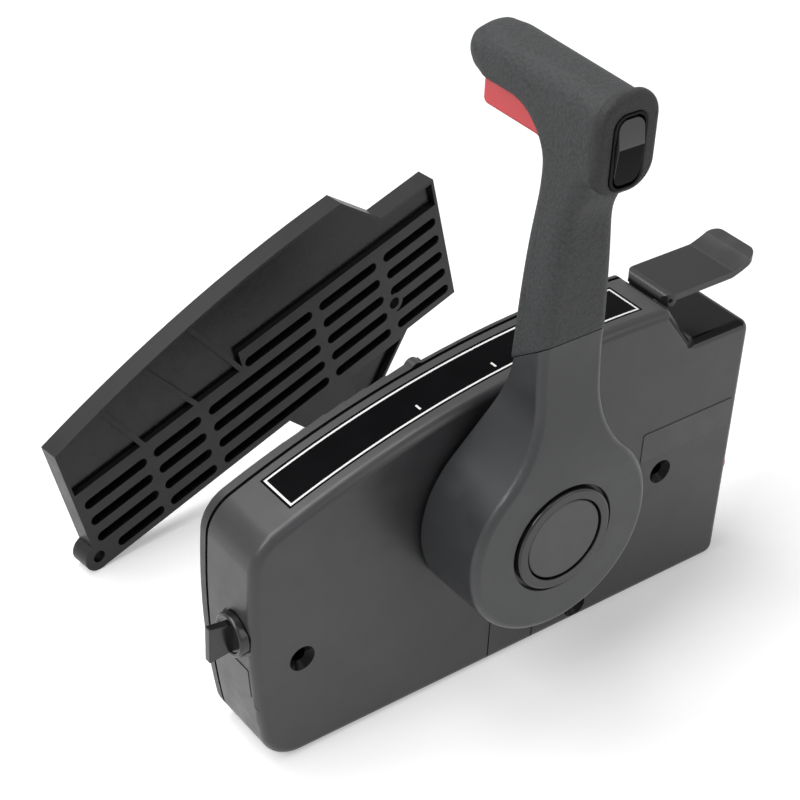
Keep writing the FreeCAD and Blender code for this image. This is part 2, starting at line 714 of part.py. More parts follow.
def gear_stud(centre):
    """Fixed stud that a gear turns on, riveted into the frame."""
    x, z = centre
    solid = rod_y(x, z, STUD_R, (INNER_FRONT_Y + GAP, FRAME_Y[0]))
    return solid.fuse(rod_y(x, z, STUD_R - 1.5, (FRAME_Y[0], FRAME_Y[1] + 1.0)))


def involute_point(base_r, turn):
    """Point of the involute of a circle, unrolled by an angle."""
    return (
        base_r * (math.cos(turn) + turn * math.sin(turn)),
        base_r * (math.sin(turn) - turn * math.cos(turn)),
    )


def gear_blank(teeth, y):
    """Spur gear with 20 degree involute teeth, centred on the origin."""
    pitch_r = MODULE * teeth / 2
    base_r = pitch_r * math.cos(math.radians(20))
    tip_r = pitch_r + MODULE * 0.95
    root_r = pitch_r - MODULE * 1.25
    start = max(base_r, root_r + 0.2)
    radii = [start + (tip_r - start) * i / 4 for i in range(5)]
    half_pitch = math.pi / (2 * teeth) - TOOTH_BACKLASH / (4 * pitch_r)
    at_pitch = math.tan(math.radians(20)) - math.radians(20)
    flank = []
    for r in radii:
        turn = math.sqrt(max((r / base_r) ** 2 - 1, 0.0))
        swing = turn - math.atan(turn)
        flank.append((r, half_pitch + at_pitch - swing))
    step = 2 * math.pi / teeth
    points = []
    for k in range(teeth):
        mid = k * step
        points.append((root_r, mid - half_pitch - at_pitch))
        points += [(r, mid - a) for r, a in flank]
        points += [(r, mid + a) for r, a in reversed(flank)]
        points.append((root_r, mid + half_pitch + at_pitch))
    return polygon([(r * math.cos(a), r * math.sin(a)) for r, a in points], y)


def meshed(gear, teeth, centre, bearing, driver_phase):
    """Gear moved to its centre and turned so a tooth gap faces the driver's tooth."""
    facing = bearing + 180.0
    step = 360.0 / teeth
    driver_step = 360.0 / DRIVE_TEETH
    offset = ((bearing - driver_phase) / driver_step) % 1.0
    turn = facing + step * (0.5 + offset)
    # A turn about +Y runs from +Z to +X, the other way round from a bearing.
    gear.rotate(V(0, 0, 0), V(0, 1, 0), -turn)
    gear.translate(V(centre[0], 0, centre[1]))
    return gear


def drive_gear():
    gear = gear_blank(DRIVE_TEETH, GEAR_Y)
    hub = rod_y(0, 0, SHAFT_R + 4, (GEAR_Y[0], ARM_Y[1]))
    cam = rod_y(0, 0, DETENT_R, ARM_Y)
    notch_z = DETENT_R + DETENT_ROLLER_R - DETENT_NOTCH
    cam = cam.cut(rod_y(0, notch_z, DETENT_ROLLER_R + GAP, THROUGH))
    solid = gear.fuse(hub).fuse(cam)
    return solid.cut(rod_y(0, 0, SHAFT_R, THROUGH))


def crank(centre, teeth, bearing, length, direction):
    """Driven gear with its hub and the arm that pulls one cable."""
    gear = meshed(gear_blank(teeth, GEAR_Y), teeth, centre, bearing, 0.0)
    x, z = centre
    hub = rod_y(x, z, GEAR_HUB_R, (GEAR_Y[0], ARM_Y[1]))
    end = (x, z - length)
    web = polygon(
        [(x - GEAR_HUB_R, z), (x + GEAR_HUB_R, z), (end[0] + ARM_END_R, end[1]), (end[0] - ARM_END_R, end[1])],
        ARM_Y,
    )
    arm = web.fuse(rod_y(end[0], end[1], ARM_END_R, ARM_Y))
    arm = arm.fuse(rod_y(end[0], end[1], ARM_PIN_R, (ARM_Y[1], ARM_PIN_END_Y)))
    arm = arm.fuse(rod_y(x, z, GEAR_HUB_R, ARM_Y))
    solid = gear.fuse(hub).fuse(turned(arm, x, z, direction))
    return solid.cut(rod_y(x, z, STUD_R + RUNNING, THROUGH))


def shift_crank():
    return crank(SHIFT_XZ, SHIFT_TEETH, SHIFT_BEARING, SHIFT_ARM_LONG, 0.0)


def throttle_crank():
    solid = crank(THROTTLE_XZ, THROTTLE_TEETH, THROTTLE_BEARING, THROTTLE_ARM_LONG, 90.0)
    x, z = THROTTLE_XZ
    drum = rod_y(x, z, DRUM_R, (DRUM_Y[0], GEAR_Y[0]))
    drum = drum.cut(rod_y(x, z, STUD_R + RUNNING, THROUGH))
    return solid.fuse(drum)


def detent_roller():
    z = DETENT_R + DETENT_ROLLER_R + GAP
    return rod_y(0, z, DETENT_ROLLER_R, (ARM_Y[0], ARM_Y[1]))


def detent_spring():
    """Leaf spring that carries the roller, held by the frame's right upper post."""
    z = DETENT_R + 2 * DETENT_ROLLER_R + 2 * GAP
    leaf_z = (z, z + DETENT_LEAF)
    end_x = DETENT_LEAF_X[1]
    cheek_x = (-DETENT_CHEEK, DETENT_CHEEK)
    cheek_y = ARM_Y[1] + GAP
    leaf = box(DETENT_LEAF_X, ARM_Y, leaf_z)
    foot = box((end_x - DETENT_FOOT, end_x), (ARM_Y[1], FRAME_Y[0]), leaf_z)
    cheek = box(cheek_x, (cheek_y, cheek_y + DETENT_LEAF), (DETENT_R + 2, leaf_z[1]))
    bridge = box(cheek_x, (ARM_Y[1], cheek_y), leaf_z)
    pin = rod_y(0, DETENT_R + DETENT_ROLLER_R + GAP, 1.2, (ARM_Y[1], ARM_Y[1] + GAP + 0.1))
    return leaf.fuse(foot).fuse(bridge).fuse(cheek).fuse(pin)


def neutral_switch():
    """Small snap switch on the frame that stops the engine starting in gear."""
    x0, z0 = SWITCH_CORNER
    long, deep, high = SWITCH_SIZE
    body = box((x0, x0 + long), (FRAME_Y[0] - deep, FRAME_Y[0]), (z0, z0 + high))
    lever_y = (FRAME_Y[0] - 4.5, FRAME_Y[0] - 1.5)
    lever = box((x0 + 2, x0 + 2 + SWITCH_LEVER), lever_y, (z0 + high, z0 + high + 0.5))
    return body.fuse(lever)


# Throttle friction


def friction_shoe():
    x, z = THROTTLE_XZ
    tip = x - DRUM_R - GAP
    back = tip - FRICTION_SHOE_THICK
    block = box((back, tip + 4), (DRUM_Y[0] + 1, DRUM_Y[1] - 1), FRICTION_SHOE_Z)
    heel_y = (DRUM_Y[0] + 1, KNOB_Y + FRICTION_SPINDLE_R)
    heel = box((back, back + FRICTION_SHOE_HEEL), heel_y, FRICTION_SHOE_Z)
    return block.fuse(heel).cut(rod_y(x, z, DRUM_R + GAP, THROUGH))


def friction_nut():
    """Threaded boss behind the end wall that the friction spindle turns in."""
    wall_x = end_x(KNOB_Z) + WALL
    body = rod_x(KNOB_Y, KNOB_Z, FRICTION_NUT_R, (wall_x + 0.6, wall_x + FRICTION_NUT_LONG))
    neck = rod_x(KNOB_Y, KNOB_Z, FRICTION_NECK_R - SKIN, (wall_x - WALL + 2 * GAP, wall_x + 1))
    return body.fuse(neck).cut(rod_x(KNOB_Y, KNOB_Z, FRICTION_SPINDLE_R + RUNNING, THROUGH))


def friction_spindle():
    shoe_back = THROTTLE_XZ[0] - DRUM_R - GAP - FRICTION_SHOE_THICK
    return rod_x(KNOB_Y, KNOB_Z, FRICTION_SPINDLE_R, (end_x(KNOB_Z) + GAP, shoe_back - GAP))


def friction_knob():
    face_x = end_x(KNOB_Z) + GAP
    flange = rod_x(KNOB_Y, KNOB_Z, KNOB_FLANGE_R, (face_x - KNOB_FLANGE, face_x))
    flange = flange.makeChamfer(1.0, [e for e in flange.Edges if abs(e.BoundBox.XMin - face_x + KNOB_FLANGE) < 0.01 and e.BoundBox.XLength < 0.01])
    half = KNOB_FIN_THICK / 2
    tip_x = face_x - KNOB_FLANGE - KNOB_FIN_OUT
    high = KNOB_FIN_HIGH / 2
    fin = box((tip_x, face_x - KNOB_FLANGE), (KNOB_Y - half, KNOB_Y + half), (KNOB_Z - high, KNOB_Z + high))
    fin = fin.makeFillet(1.2, [e for e in fin.Edges if e.BoundBox.XLength < 0.01 and abs(e.BoundBox.XMin - tip_x) < 0.01])
    shoulder = Part.makeCone(KNOB_FLANGE_R - 1.0, 4.5, 5.0, V(face_x - KNOB_FLANGE, KNOB_Y, KNOB_Z), V(-1, 0, 0))
    return flange.fuse(fin).fuse(shoulder)


# Switches on the aft end


def key_switch_body():
    inner_x = RIGHT_X - WALL
    body = rod_x(SWITCH_Y, KEY_Z, KEY_BODY_R, (inner_x - KEY_BODY_LONG, inner_x - 0.5))
    neck = rod_x(SWITCH_Y, KEY_Z, KEY_NECK_R, (inner_x - 1.0, RIGHT_X + KEY_CAP_OUT - 1.0))
    solid = body.fuse(neck)
    for dy, dz in ((-5, 0), (5, 0), (0, 6)):
        blade = box((inner_x - KEY_BODY_LONG - 8, inner_x - KEY_BODY_LONG), (SWITCH_Y + dy - 2.5, SWITCH_Y + dy + 2.5), (KEY_Z + dz - 0.4, KEY_Z + dz + 0.4))
        solid = solid.fuse(blade)
    bore_x = (inner_x - 20, RIGHT_X + 20)
    return solid.cut(rod_x(SWITCH_Y, KEY_Z, KEY_ROTOR_R + 1.0 + RUNNING, bore_x))


def hex_nut(z, radius, hole_r, thick):
    """Thin hexagon nut on the aft end, round the neck of a switch."""
    points = []
    for k in range(6):
        a = math.radians(60 * k)
        points.append(V(RIGHT_X, SWITCH_Y + radius * math.cos(a), z + radius * math.sin(a)))
    face = Part.Face(Part.makePolygon(points + [points[0]]))
    solid = face.extrude(V(thick, 0, 0))
    return solid.cut(rod_x(SWITCH_Y, z, hole_r, (RIGHT_X - 5, RIGHT_X + 20)))


def key_switch_nut():
    return hex_nut(KEY_Z, KEY_NUT_R, KEY_NECK_R + RUNNING, KEY_NUT)


def choke_sleeve():
    """Sleeve round the key rotor that slides in when the key is pushed."""
    inner_x = RIGHT_X - WALL
    tube = rod_x(SWITCH_Y, KEY_Z, KEY_ROTOR_R + 1.0, (inner_x - 14, RIGHT_X + KEY_CAP_OUT - 0.5))
    return tube.cut(rod_x(SWITCH_Y, KEY_Z, KEY_ROTOR_R + RUNNING, (inner_x - 12, RIGHT_X + 20)))


def key_rotor():
    inner_x = RIGHT_X - WALL
    solid = rod_x(SWITCH_Y, KEY_Z, KEY_ROTOR_R, (inner_x - 12 + GAP, RIGHT_X + KEY_CAP_OUT - 0.8))
    high, wide = KEY_SLOT
    slot = box((RIGHT_X - 6, RIGHT_X + 20), (SWITCH_Y - wide / 2, SWITCH_Y + wide / 2), (KEY_Z - high / 2, KEY_Z + high / 2))
    return solid.cut(slot)


def stop_switch_body():
    inner_x = RIGHT_X - WALL
    body = rod_x(SWITCH_Y, STOP_Z, STOP_BODY_R, (inner_x - STOP_BODY_LONG, inner_x - 0.5))
    neck = rod_x(SWITCH_Y, STOP_Z, STOP_NECK_R, (inner_x - 1.0, RIGHT_X + 4.5))
    bore_x = (inner_x - 12, RIGHT_X + 20)
    return body.fuse(neck).cut(rod_x(SWITCH_Y, STOP_Z, STOP_STEM_R + RUNNING, bore_x))


def stop_switch_nut():
    return hex_nut(STOP_Z, STOP_NUT_R, STOP_NECK_R + RUNNING, STOP_NUT)


def stop_button():
    inner_x = RIGHT_X - WALL
    head_x = RIGHT_X + 4.5 + STOP_TRAVEL + GAP
    stem = rod_x(SWITCH_Y, STOP_Z, STOP_STEM_R, (inner_x - 12 + STOP_TRAVEL + GAP, head_x))
    head = rod_x(SWITCH_Y, STOP_Z, STOP_HEAD_R, (head_x, head_x + STOP_HEAD))
    return stem.fuse(head)


# Cable fixings


def cable_clamp():
    """Block over the cable port that grips the ends of the two control cables."""
    x0, x1 = CABLE_PORT_X
    x = (x0 - 4, x1 + 4)
    front_y = CABLE_PORT_Y[0] - 1
    top = CLAMP_Z + CLAMP_HIGH
    base = box(x, (front_y - 8, front_y), (BASE_Z + WALL, top))
    shelf = box(x, (front_y, SEAM_Y - 3), (top - CLAMP_BASE, top))
    solid = base.fuse(shelf)
    for x in (x0 + 9, x1 - 9):
        solid = solid.cut(rod_z(x, SEAM_Y - 10, CLAMP_GROOVE_R, (BASE_Z, 0)))
    return solid


def harness_grommet():
    z = (BASE_Z + 0.2, BASE_Z + WALL + 2)
    solid = rod_z(GROMMET_X, GROMMET_Y, GROMMET_R - RUNNING, (z[0], z[1]))
    solid = solid.fuse(rod_z(GROMMET_X, GROMMET_Y, GROMMET_R + 2, (BASE_Z + WALL, z[1])))
    return solid.cut(rod_z(GROMMET_X, GROMMET_Y, GROMMET_R - GROMMET_WALL, (z[0] - 1, z[1] + 1)))


# Fast idle lever


def idle_profile():
    """Side view of the paddle: flat, then an upturned end."""
    top = IDLE_PIN_Z + IDLE_KNUCKLE_R - 0.1
    low = top - IDLE_THICK
    tip_x = IDLE_END_X - 5.0
    mid_x = (IDLE_FLAT_X + tip_x) / 2
    edges = []
    for base in (top, low):
        edges.append([
            line((IDLE_PIN_X, base), (IDLE_FLAT_X, base)),
            arc((IDLE_FLAT_X, base), (mid_x, base + IDLE_RISE * 0.27), (tip_x, base + IDLE_RISE * 0.66)),
            line((tip_x, base + IDLE_RISE * 0.66), (IDLE_END_X, base + IDLE_RISE)),
        ])
    ends = [
        line((IDLE_END_X, top + IDLE_RISE), (IDLE_END_X, low + IDLE_RISE)),
        line((IDLE_PIN_X, low), (IDLE_PIN_X, top)),
    ]
    return plate(edges[0] + [ends[0]] + edges[1][::-1] + [ends[1]], (0, IDLE_Y[1] - IDLE_Y[0]))


def fast_idle_lever():
    solid = idle_profile()
    solid.translate(V(0, IDLE_Y[0], 0))
    solid = solid.fuse(rod_y(IDLE_PIN_X, IDLE_PIN_Z, IDLE_KNUCKLE_R, IDLE_Y))
    left_x = IDLE_PIN_X - IDLE_KNUCKLE_R
    for x, run in ((left_x, IDLE_CORNER), (IDLE_END_X, -IDLE_CORNER)):
        for y, side in ((IDLE_Y[0], IDLE_CORNER), (IDLE_Y[1], -IDLE_CORNER)):
            block = box((x - run, x + run), (y - side, y + side), (0, 100))
            block = block.cut(box((x, x + 2 * run), (y + side, y + 3 * side), (0, 100)))
            keep = rod_z(x + run, y + side, IDLE_CORNER, (0, 100))
            rest = box((x + run, x + 2 * run), (y - side, y + side), (0, 100))
            solid = solid.cut(block.cut(keep).cut(rest))
    gap_y = (BRACKET_Y[0] - GAP, BRACKET_Y[1] + GAP)
    gap_x = (IDLE_PIN_X - 5, IDLE_PIN_X + BRACKET_NECK / 2 + GAP)
    solid = solid.cut(box(gap_x, gap_y, (IDLE_PIN_Z - 8, IDLE_PIN_Z)))
    solid = solid.cut(rod_y(IDLE_PIN_X, IDLE_PIN_Z, BRACKET_BARREL_R + GAP, gap_y))
    return solid.cut(rod_y(IDLE_PIN_X, IDLE_PIN_Z, IDLE_PIN_R + RUNNING, THROUGH))


def idle_bracket():
    """Hinge post that stands up through the slanted wall above the shelf."""
    half = BRACKET_NECK / 2
    post = box((IDLE_PIN_X - half, IDLE_PIN_X + half), BRACKET_Y, (BRACKET_FOOT_Z, IDLE_PIN_Z))
    foot = box((IDLE_PIN_X - 14, IDLE_PIN_X + half), BRACKET_Y, (BRACKET_FOOT_Z, BRACKET_FOOT_Z + 3))
    solid = post.fuse(foot).fuse(rod_y(IDLE_PIN_X, IDLE_PIN_Z, BRACKET_BARREL_R, BRACKET_Y))
    return solid.cut(rod_y(IDLE_PIN_X, IDLE_PIN_Z, IDLE_PIN_R + RUNNING, THROUGH))


def idle_pin():
    return rod_y(IDLE_PIN_X, IDLE_PIN_Z, IDLE_PIN_R, (IDLE_Y[0] + 2, IDLE_Y[1] - 2))


# Lever


def lever_front(inset, y):
    """Hub circle and neck as seen from the front, moved in by an inset."""
    hub = HUB_R - inset
    half = NECK_HALF - inset
    blend = NECK_BLEND + inset
    side = half + blend
    up = math.sqrt((hub + blend) ** 2 - side ** 2)
    touch = (side * hub / (hub + blend), up * hub / (hub + blend))
    start = (half, up)
    middle_angle = math.pi + math.atan2(up, side) / 2
    middle = (side + blend * math.cos(middle_angle), up + blend * math.sin(middle_angle))
    top = NECK_Z + 20
    edges = [
        arc(touch, (0, -hub), (-touch[0], touch[1]), y[0]),
        arc((-touch[0], touch[1]), (-middle[0], middle[1]), (-start[0], start[1]), y[0]),
        line((-start[0], start[1]), (-half, top), y[0]),
        line((-half, top), (half, top), y[0]),
        line((half, top), start, y[0]),
        arc(start, middle, touch, y[0]),
    ]
    return plate(edges, y)


def lever_side(inset):
    """Side view of the hub and neck, carried right across."""
    front = HUB_FRONT_Y + inset
    back = HUB_BACK_Y
    top = NECK_Z + 20
    low = -HUB_R - 5
    def at(y, z):
        return V(-80, y, z)
    front_curve = Part.BSplineCurve()
    front_curve.interpolate([at(front, 20), at(front + 1.2, 50), at(ARM_FRONT_LOW + inset - 0.2, 84), at(ARM_FRONT_LOW + inset, NECK_Z)])
    back_curve = Part.BSplineCurve()
    back_curve.interpolate([at(ARM_BACK_LOW - inset, NECK_Z), at(ARM_BACK_LOW - inset + 1.0, 74), at(back - inset * 0.3 - 1.5, 46), at(back, 34)])
    edges = [
        Part.makeLine(at(back, low), at(front, low)),
        Part.makeLine(at(front, low), at(front, 20)),
        front_curve.toShape(),
        Part.makeLine(at(ARM_FRONT_LOW + inset, NECK_Z), at(ARM_FRONT_LOW + inset, top)),
        Part.makeLine(at(ARM_FRONT_LOW + inset, top), at(ARM_BACK_LOW - inset, top)),
        Part.makeLine(at(ARM_BACK_LOW - inset, top), at(ARM_BACK_LOW - inset, NECK_Z)),
        back_curve.toShape(),
        Part.makeLine(at(back, 34), at(back, low)),
    ]
    return Part.Face(Part.Wire(edges)).extrude(V(160, 0, 0))


def sleeve_cut(lower, shift=0.0):
    """Everything below or above the slanted line where the sleeve ends."""
    y_front, y_back = FRONT_Y - 70, 0.0
    slope = (SLEEVE_BACK_Z - SLEEVE_FRONT_Z) / (ARM_BACK_LOW - ARM_FRONT_LOW)
    z_front = SLEEVE_FRONT_Z + slope * (y_front - ARM_FRONT_LOW) + shift
    z_back = SLEEVE_FRONT_Z + slope * (y_back - ARM_FRONT_LOW) + shift
    far = -200.0 if lower else 400.0
    points = [V(-100, y_front, z_front), V(-100, y_back, z_back), V(-100, y_back, far), V(-100, y_front, far)]
    return Part.Face(Part.makePolygon(points + [points[0]])).extrude(V(200, 0, 0))


def lever_hub():
    solid = lever_front(0.0, (HUB_FRONT_Y - 2, HUB_BACK_Y + 2)).common(lever_side(0.0))
    solid = solid.common(sleeve_cut(True, 0.0))
    front = [e for e in solid.Edges if is_front_edge(e)]
    solid = solid.makeFillet(HUB_ROUND, front)
    hollow = lever_front(LEVER_WALL, (HUB_FRONT_Y - 2, 0)).common(lever_side(LEVER_WALL))
    solid = solid.cut(hollow)
    floor_y = HUB_FRONT_Y + HUB_RECESS
    seat = rod_y(0, 0, HUB_RECESS_R + LEVER_WALL, (HUB_FRONT_Y + 1, floor_y + LEVER_WALL))
    solid = solid.fuse(seat)
    solid = solid.cut(rod_y(0, 0, HUB_RECESS_R, (HUB_FRONT_Y - 5, floor_y)))
    return solid.cut(rod_y(0, 0, RING_HOLE_R, (HUB_FRONT_Y - 5, floor_y + 20)))


def is_front_edge(edge):
    """Edges of the front face's rim, which bound the hub and the neck towards the operator."""
    bb = edge.BoundBox
    return bb.YMax < ARM_FRONT_LOW + 2.0 and bb.ZLength > 2.0


def hub_ring():
    floor_y = HUB_FRONT_Y + HUB_RECESS
    solid = rod_y(0, 0, RING_R, (HUB_FRONT_Y - RING_PROUD, floor_y))
    edges = [e for e in solid.Edges if e.BoundBox.YLength < 0.01 and e.BoundBox.YMin < HUB_FRONT_Y - 1]
    solid = solid.makeFillet(1.2, edges)
    return solid.cut(rod_y(0, 0, RING_HOLE_R, THROUGH))


def throttle_only_button():
    face_y = HUB_FRONT_Y - BUTTON_PROUD
    solid = rod_y(0, 0, BUTTON_R, (face_y, face_y + BUTTON_DEEP))
    edges = [e for e in solid.Edges if e.BoundBox.YLength < 0.01 and e.BoundBox.YMin < face_y + 0.1]
    solid = solid.makeFillet(0.8, edges)
    return solid.fuse(rod_y(0, 0, BUTTON_STEM_R, (face_y + BUTTON_DEEP, face_y + BUTTON_DEEP + BUTTON_STEM)))


def lever_shaft():
    solid = rod_y(0, 0, SHAFT_R, (CORE_FRONT_Y, SHAFT_END_Y))
    solid = solid.cut(box((-8, 8), (CORE_FRONT_Y - 1, FLAT_END_Y), (SHAFT_R - SHAFT_FLAT, SHAFT_R + 1)))
    return solid.cut(rod_y(0, 0, BOLT_R + RUNNING, (CORE_FRONT_Y - 1, CORE_FRONT_Y + BOLT_LONG + 1)))


def lever_bolt():
    """Bolt with a washer that holds the lever on its shaft."""
    washer = rod_y(0, 0, BOLT_WASHER_R, (CORE_FRONT_Y - BOLT_WASHER, CORE_FRONT_Y))
    points = []
    for k in range(6):
        angle = math.radians(60 * k)
        points.append((BOLT_HEAD_R * math.cos(angle), BOLT_HEAD_R * math.sin(angle)))
    head = polygon(points, (CORE_FRONT_Y - BOLT_WASHER - BOLT_HEAD, CORE_FRONT_Y - BOLT_WASHER))
    shank = rod_y(0, 0, BOLT_R, (CORE_FRONT_Y, CORE_FRONT_Y + BOLT_LONG))
    return washer.fuse(head).fuse(shank)


def lever_core():
    """Cast arm inside the mouldings, keyed to the shaft and carrying the handle."""
    hub = rod_y(0, 0, CORE_R, (CORE_FRONT_Y, CORE_BACK_Y))
    arm = box(CORE_ARM_X, CORE_ARM_Y, (CORE_ARM_LOW_Z, CORE_TOP_Z))
    low, high = CORE_ARM_X
    spread = polygon([(-20, 5), (low, 60), (high, 60), (20, 5)], CORE_WEB_Y)
    solid = hub.fuse(arm).fuse(spread)
    bore = rod_y(0, 0, SHAFT_R, THROUGH)
    bore = bore.cut(box((-8, 8), (CORE_FRONT_Y - 1, FLAT_END_Y), (SHAFT_R - SHAFT_FLAT, SHAFT_R + 1)))
    return solid.cut(bore)


def button_spring():
    """Bellows sleeve behind the button that pushes it back out."""
    start = HUB_FRONT_Y - BUTTON_PROUD + BUTTON_DEEP
    fold = (CORE_FRONT_Y - start) / (2 * BELLOWS_FOLDS)
    inner = []
    for k in range(2 * BELLOWS_FOLDS + 1):
        swing = BELLOWS_SWING if k % 2 else -BELLOWS_SWING
        inner.append(V(BELLOWS_R + swing, start + fold * k, 0))
    outer = [point + V(BELLOWS_WALL, 0, 0) for point in reversed(inner)]
    face = Part.Face(Part.makePolygon(inner + outer + [inner[0]]))
    return face.revolve(V(0, 0, 0), V(0, 1, 0), 360)


def side_line(rows, low, high):
    """Smooth edge in the YZ plane of the lever's profile, with upright or level ends."""
    curve = Part.BSplineCurve()
    curve.interpolate([V(-30, y, z) for y, z in rows], InitialTangent=low, FinalTangent=high)
    return curve.toShape()


def grip_side(inset):
    """Side view of sleeve and handle moved in by an inset, carried right across."""
    def join(*points):
        line_points = [V(-30, y, z) for y, z in points]
        return [Part.makeLine(a, b) for a, b in zip(line_points, line_points[1:])]
    front = ARM_FRONT_LOW - SLEEVE_PROUD + inset
    near = GRIP_NEAR_Y + CAP_THICK
    far = GRIP_FAR_Y - inset
    low = GRIP_LOW_Z + inset
    mid_y = ARM_BACK_TOP + GRIP_BEND
    mid_z = GRIP_LOW_Z - GRIP_BEND
    reach = GRIP_BEND + inset
    slant = math.sqrt(0.5)
    flare = [(front, FLARE_LOW_Z)]
    flare += [(y + inset * right, z + inset * up) for y, z, right, up in FLARE_ROWS]
    flare += [(near, FLARE_END_Z + inset)]
    back = [(ARM_BACK_TOP - inset, mid_z)]
    back += [(y - inset, z) for y, z in ARM_BACK_ROWS]
    back += [(ARM_BACK_LOW + SLEEVE_PROUD + 0.8 - inset, GRIP_FOOT_Z)]
    bend = Part.Arc(
        V(-30, mid_y, low), V(-30, mid_y - reach * slant, mid_z + reach * slant), V(-30, mid_y - reach, mid_z),
    )
    edges = join((front, GRIP_FOOT_Z), (front, FLARE_LOW_Z))
    edges += [side_line(flare, V(0, 0, 1), V(0, -1, 0))]
    edges += join((near, FLARE_END_Z + inset), (near - inset, FLARE_END_Z + inset)) if inset else []
    edges += join((near - inset, FLARE_END_Z + inset), (near - inset, 240), (far, 240), (far, low), (mid_y, low))
    edges += [bend.toShape(), side_line(back, V(0, 0, -1), V(0, 0, -1))]
    edges += join(back[-1], (front, GRIP_FOOT_Z))
    return Part.Face(Part.Wire(edges)).extrude(V(60, 0, 0))


def grip_front(inset):
    """Front view of sleeve and handle moved in by an inset, rising slightly to the far end."""
    y = GRIP_NEAR_Y - 20
    run = GRIP_FAR_Y + 5 - y
    drop = GRIP_SLOPE * (GRIP_FAR_Y - y)
    top = GRIP_TOP_Z - inset - drop
    radius = GRIP_TOP_ROUND - inset
    half = GRIP_HALF - inset
    slant = radius * (1 - math.sqrt(0.5))
    shoulder = (half, GRIP_SHOULDER_Z - drop)
    edges = []
    for side in (1, -1):
        curve = Part.BSplineCurve()
        rows = [V(side * (w - inset), y, z - drop) for w, z in GRIP_WIDTHS]
        curve.interpolate(rows, InitialTangent=V(-0.02 * side, 0, 1), FinalTangent=V(0, 0, 1))
        corner = [
            (side * half, top - radius), (side * (half - slant), top - slant), (side * (half - radius), top),
        ]
        edges += [curve.toShape(), line((side * half, shoulder[1]), corner[0], y), arc(*corner, y)]
    edges += [line((half - radius, top), (radius - half, top), y)]
    foot_half, foot_z = GRIP_WIDTHS[0]
    edges += [line((foot_half - inset, foot_z - drop), (inset - foot_half, foot_z - drop), y)]
    wire = Part.Wire(Part.__sortEdges__(edges))
    return Part.Face(wire).extrude(V(0, run, run * GRIP_SLOPE))


def round_far_end(solid, inset):
    """Dome the far end of the handle."""
    radius = GRIP_DOME - inset
    half = GRIP_HALF - inset + RUNNING
    far = GRIP_FAR_Y - inset
    z = (GRIP_LOW_Z + inset - RUNNING, GRIP_TOP_Z - inset + RUNNING)
    dome = box((-half, half), (far - 3 * radius, far), z)
    dome = dome.makeFillet(radius, edges_at(dome, far))
    around = box((-30, 30), (far - radius, far + 5), (z[0] - 10, z[1] + 10))
    return solid.cut(around.cut(dome))


def grip_body(inset):
    """Sleeve and handle as one rounded solid, moved in by an inset."""
    solid = grip_side(inset).common(grip_front(inset))
    for radius, front in ((GRIP_FRONT_ROUND, True), (GRIP_BACK_ROUND, False)):
        chosen = [e for e in solid.Edges if is_grip_corner(e, front)]
        solid = solid.makeFillet(radius - inset, chosen)
    return round_far_end(solid, inset)


def is_grip_corner(edge, front):
    """True for the lengthwise corners of the sleeve and the handle's lower side."""
    mid = edge.valueAt((edge.FirstParameter + edge.LastParameter) / 2)
    if abs(mid.x) < 9 or edge.BoundBox.YMax < GRIP_NEAR_Y + CAP_THICK + 0.1:
        return False
    if mid.z < GRIP_FOOT_Z + 1 or mid.z > GRIP_LOW_Z + GRIP_WALL + 1 or mid.y > GRIP_FAR_Y - GRIP_WALL - 1:
        return False
    return (mid.y < ARM_FRONT_LOW + 6) == front


def lever_grip():
    solid = grip_body(0.0).cut(grip_body(GRIP_WALL)).common(sleeve_cut(False, GAP))
    slot_x = TRIGGER_HALF + GAP
    window_z = (TRIGGER_LOW_Z - TRIGGER_BEND - GAP, TRIGGER_TOP_Z)
    window = box((-slot_x, slot_x), (TRIGGER_Y[0] - GAP, TRIGGER_Y[1] + GAP), window_z)
    top = TRIGGER_TOP_Z
    channel_y = (ROD_Y - ROD_R - GAP, TRIGGER_Y[0])
    channel_z = (top - TRIGGER_TRAVEL - 1.0 - TONGUE_THICK - GAP, top)
    channel = box((-TONGUE_HALF - GAP, ROD_X + ROD_R + GAP), channel_y, channel_z)
    return solid.cut(window).cut(channel)


def grip_end_cap():
    """Textured rim at the near end of the handle, round the rocker's well."""
    low, high = CAP_Z
    y = (GRIP_NEAR_Y, GRIP_NEAR_Y + CAP_THICK)
    solid = rounded_rect(CAP_HALF, (high - low) / 2, CAP_CORNER, y, (low + high) / 2)
    solid = solid.makeFillet(CAP_ROUND, edges_at(solid, y[0]))
    solid = solid.makeFillet(CAP_BACK_ROUND, edges_at(solid, y[1]))
    return solid.cut(rounded_rect(ROCKER_WELL_HALF, ROCKER_WELL_HALF_HIGH, ROCKER_WELL_ROUND, THROUGH, ROCKER_Z))


def rocker_bezel():
    """Frame that lines the well, with play round the rocker."""
    y = (GRIP_NEAR_Y - BEZEL_PROUD, GRIP_NEAR_Y + CAP_THICK)
    play_x, play_z = BEZEL_PLAY
    outer = rounded_rect(
        ROCKER_WELL_HALF - SKIN, ROCKER_WELL_HALF_HIGH - SKIN, ROCKER_WELL_ROUND - SKIN, y, ROCKER_Z,
    )
    inner = rounded_rect(
        ROCKER_HALF + play_x, ROCKER_HALF_HIGH + play_z, ROCKER_ROUND + play_x, THROUGH, ROCKER_Z,
    )
    return outer.cut(inner)


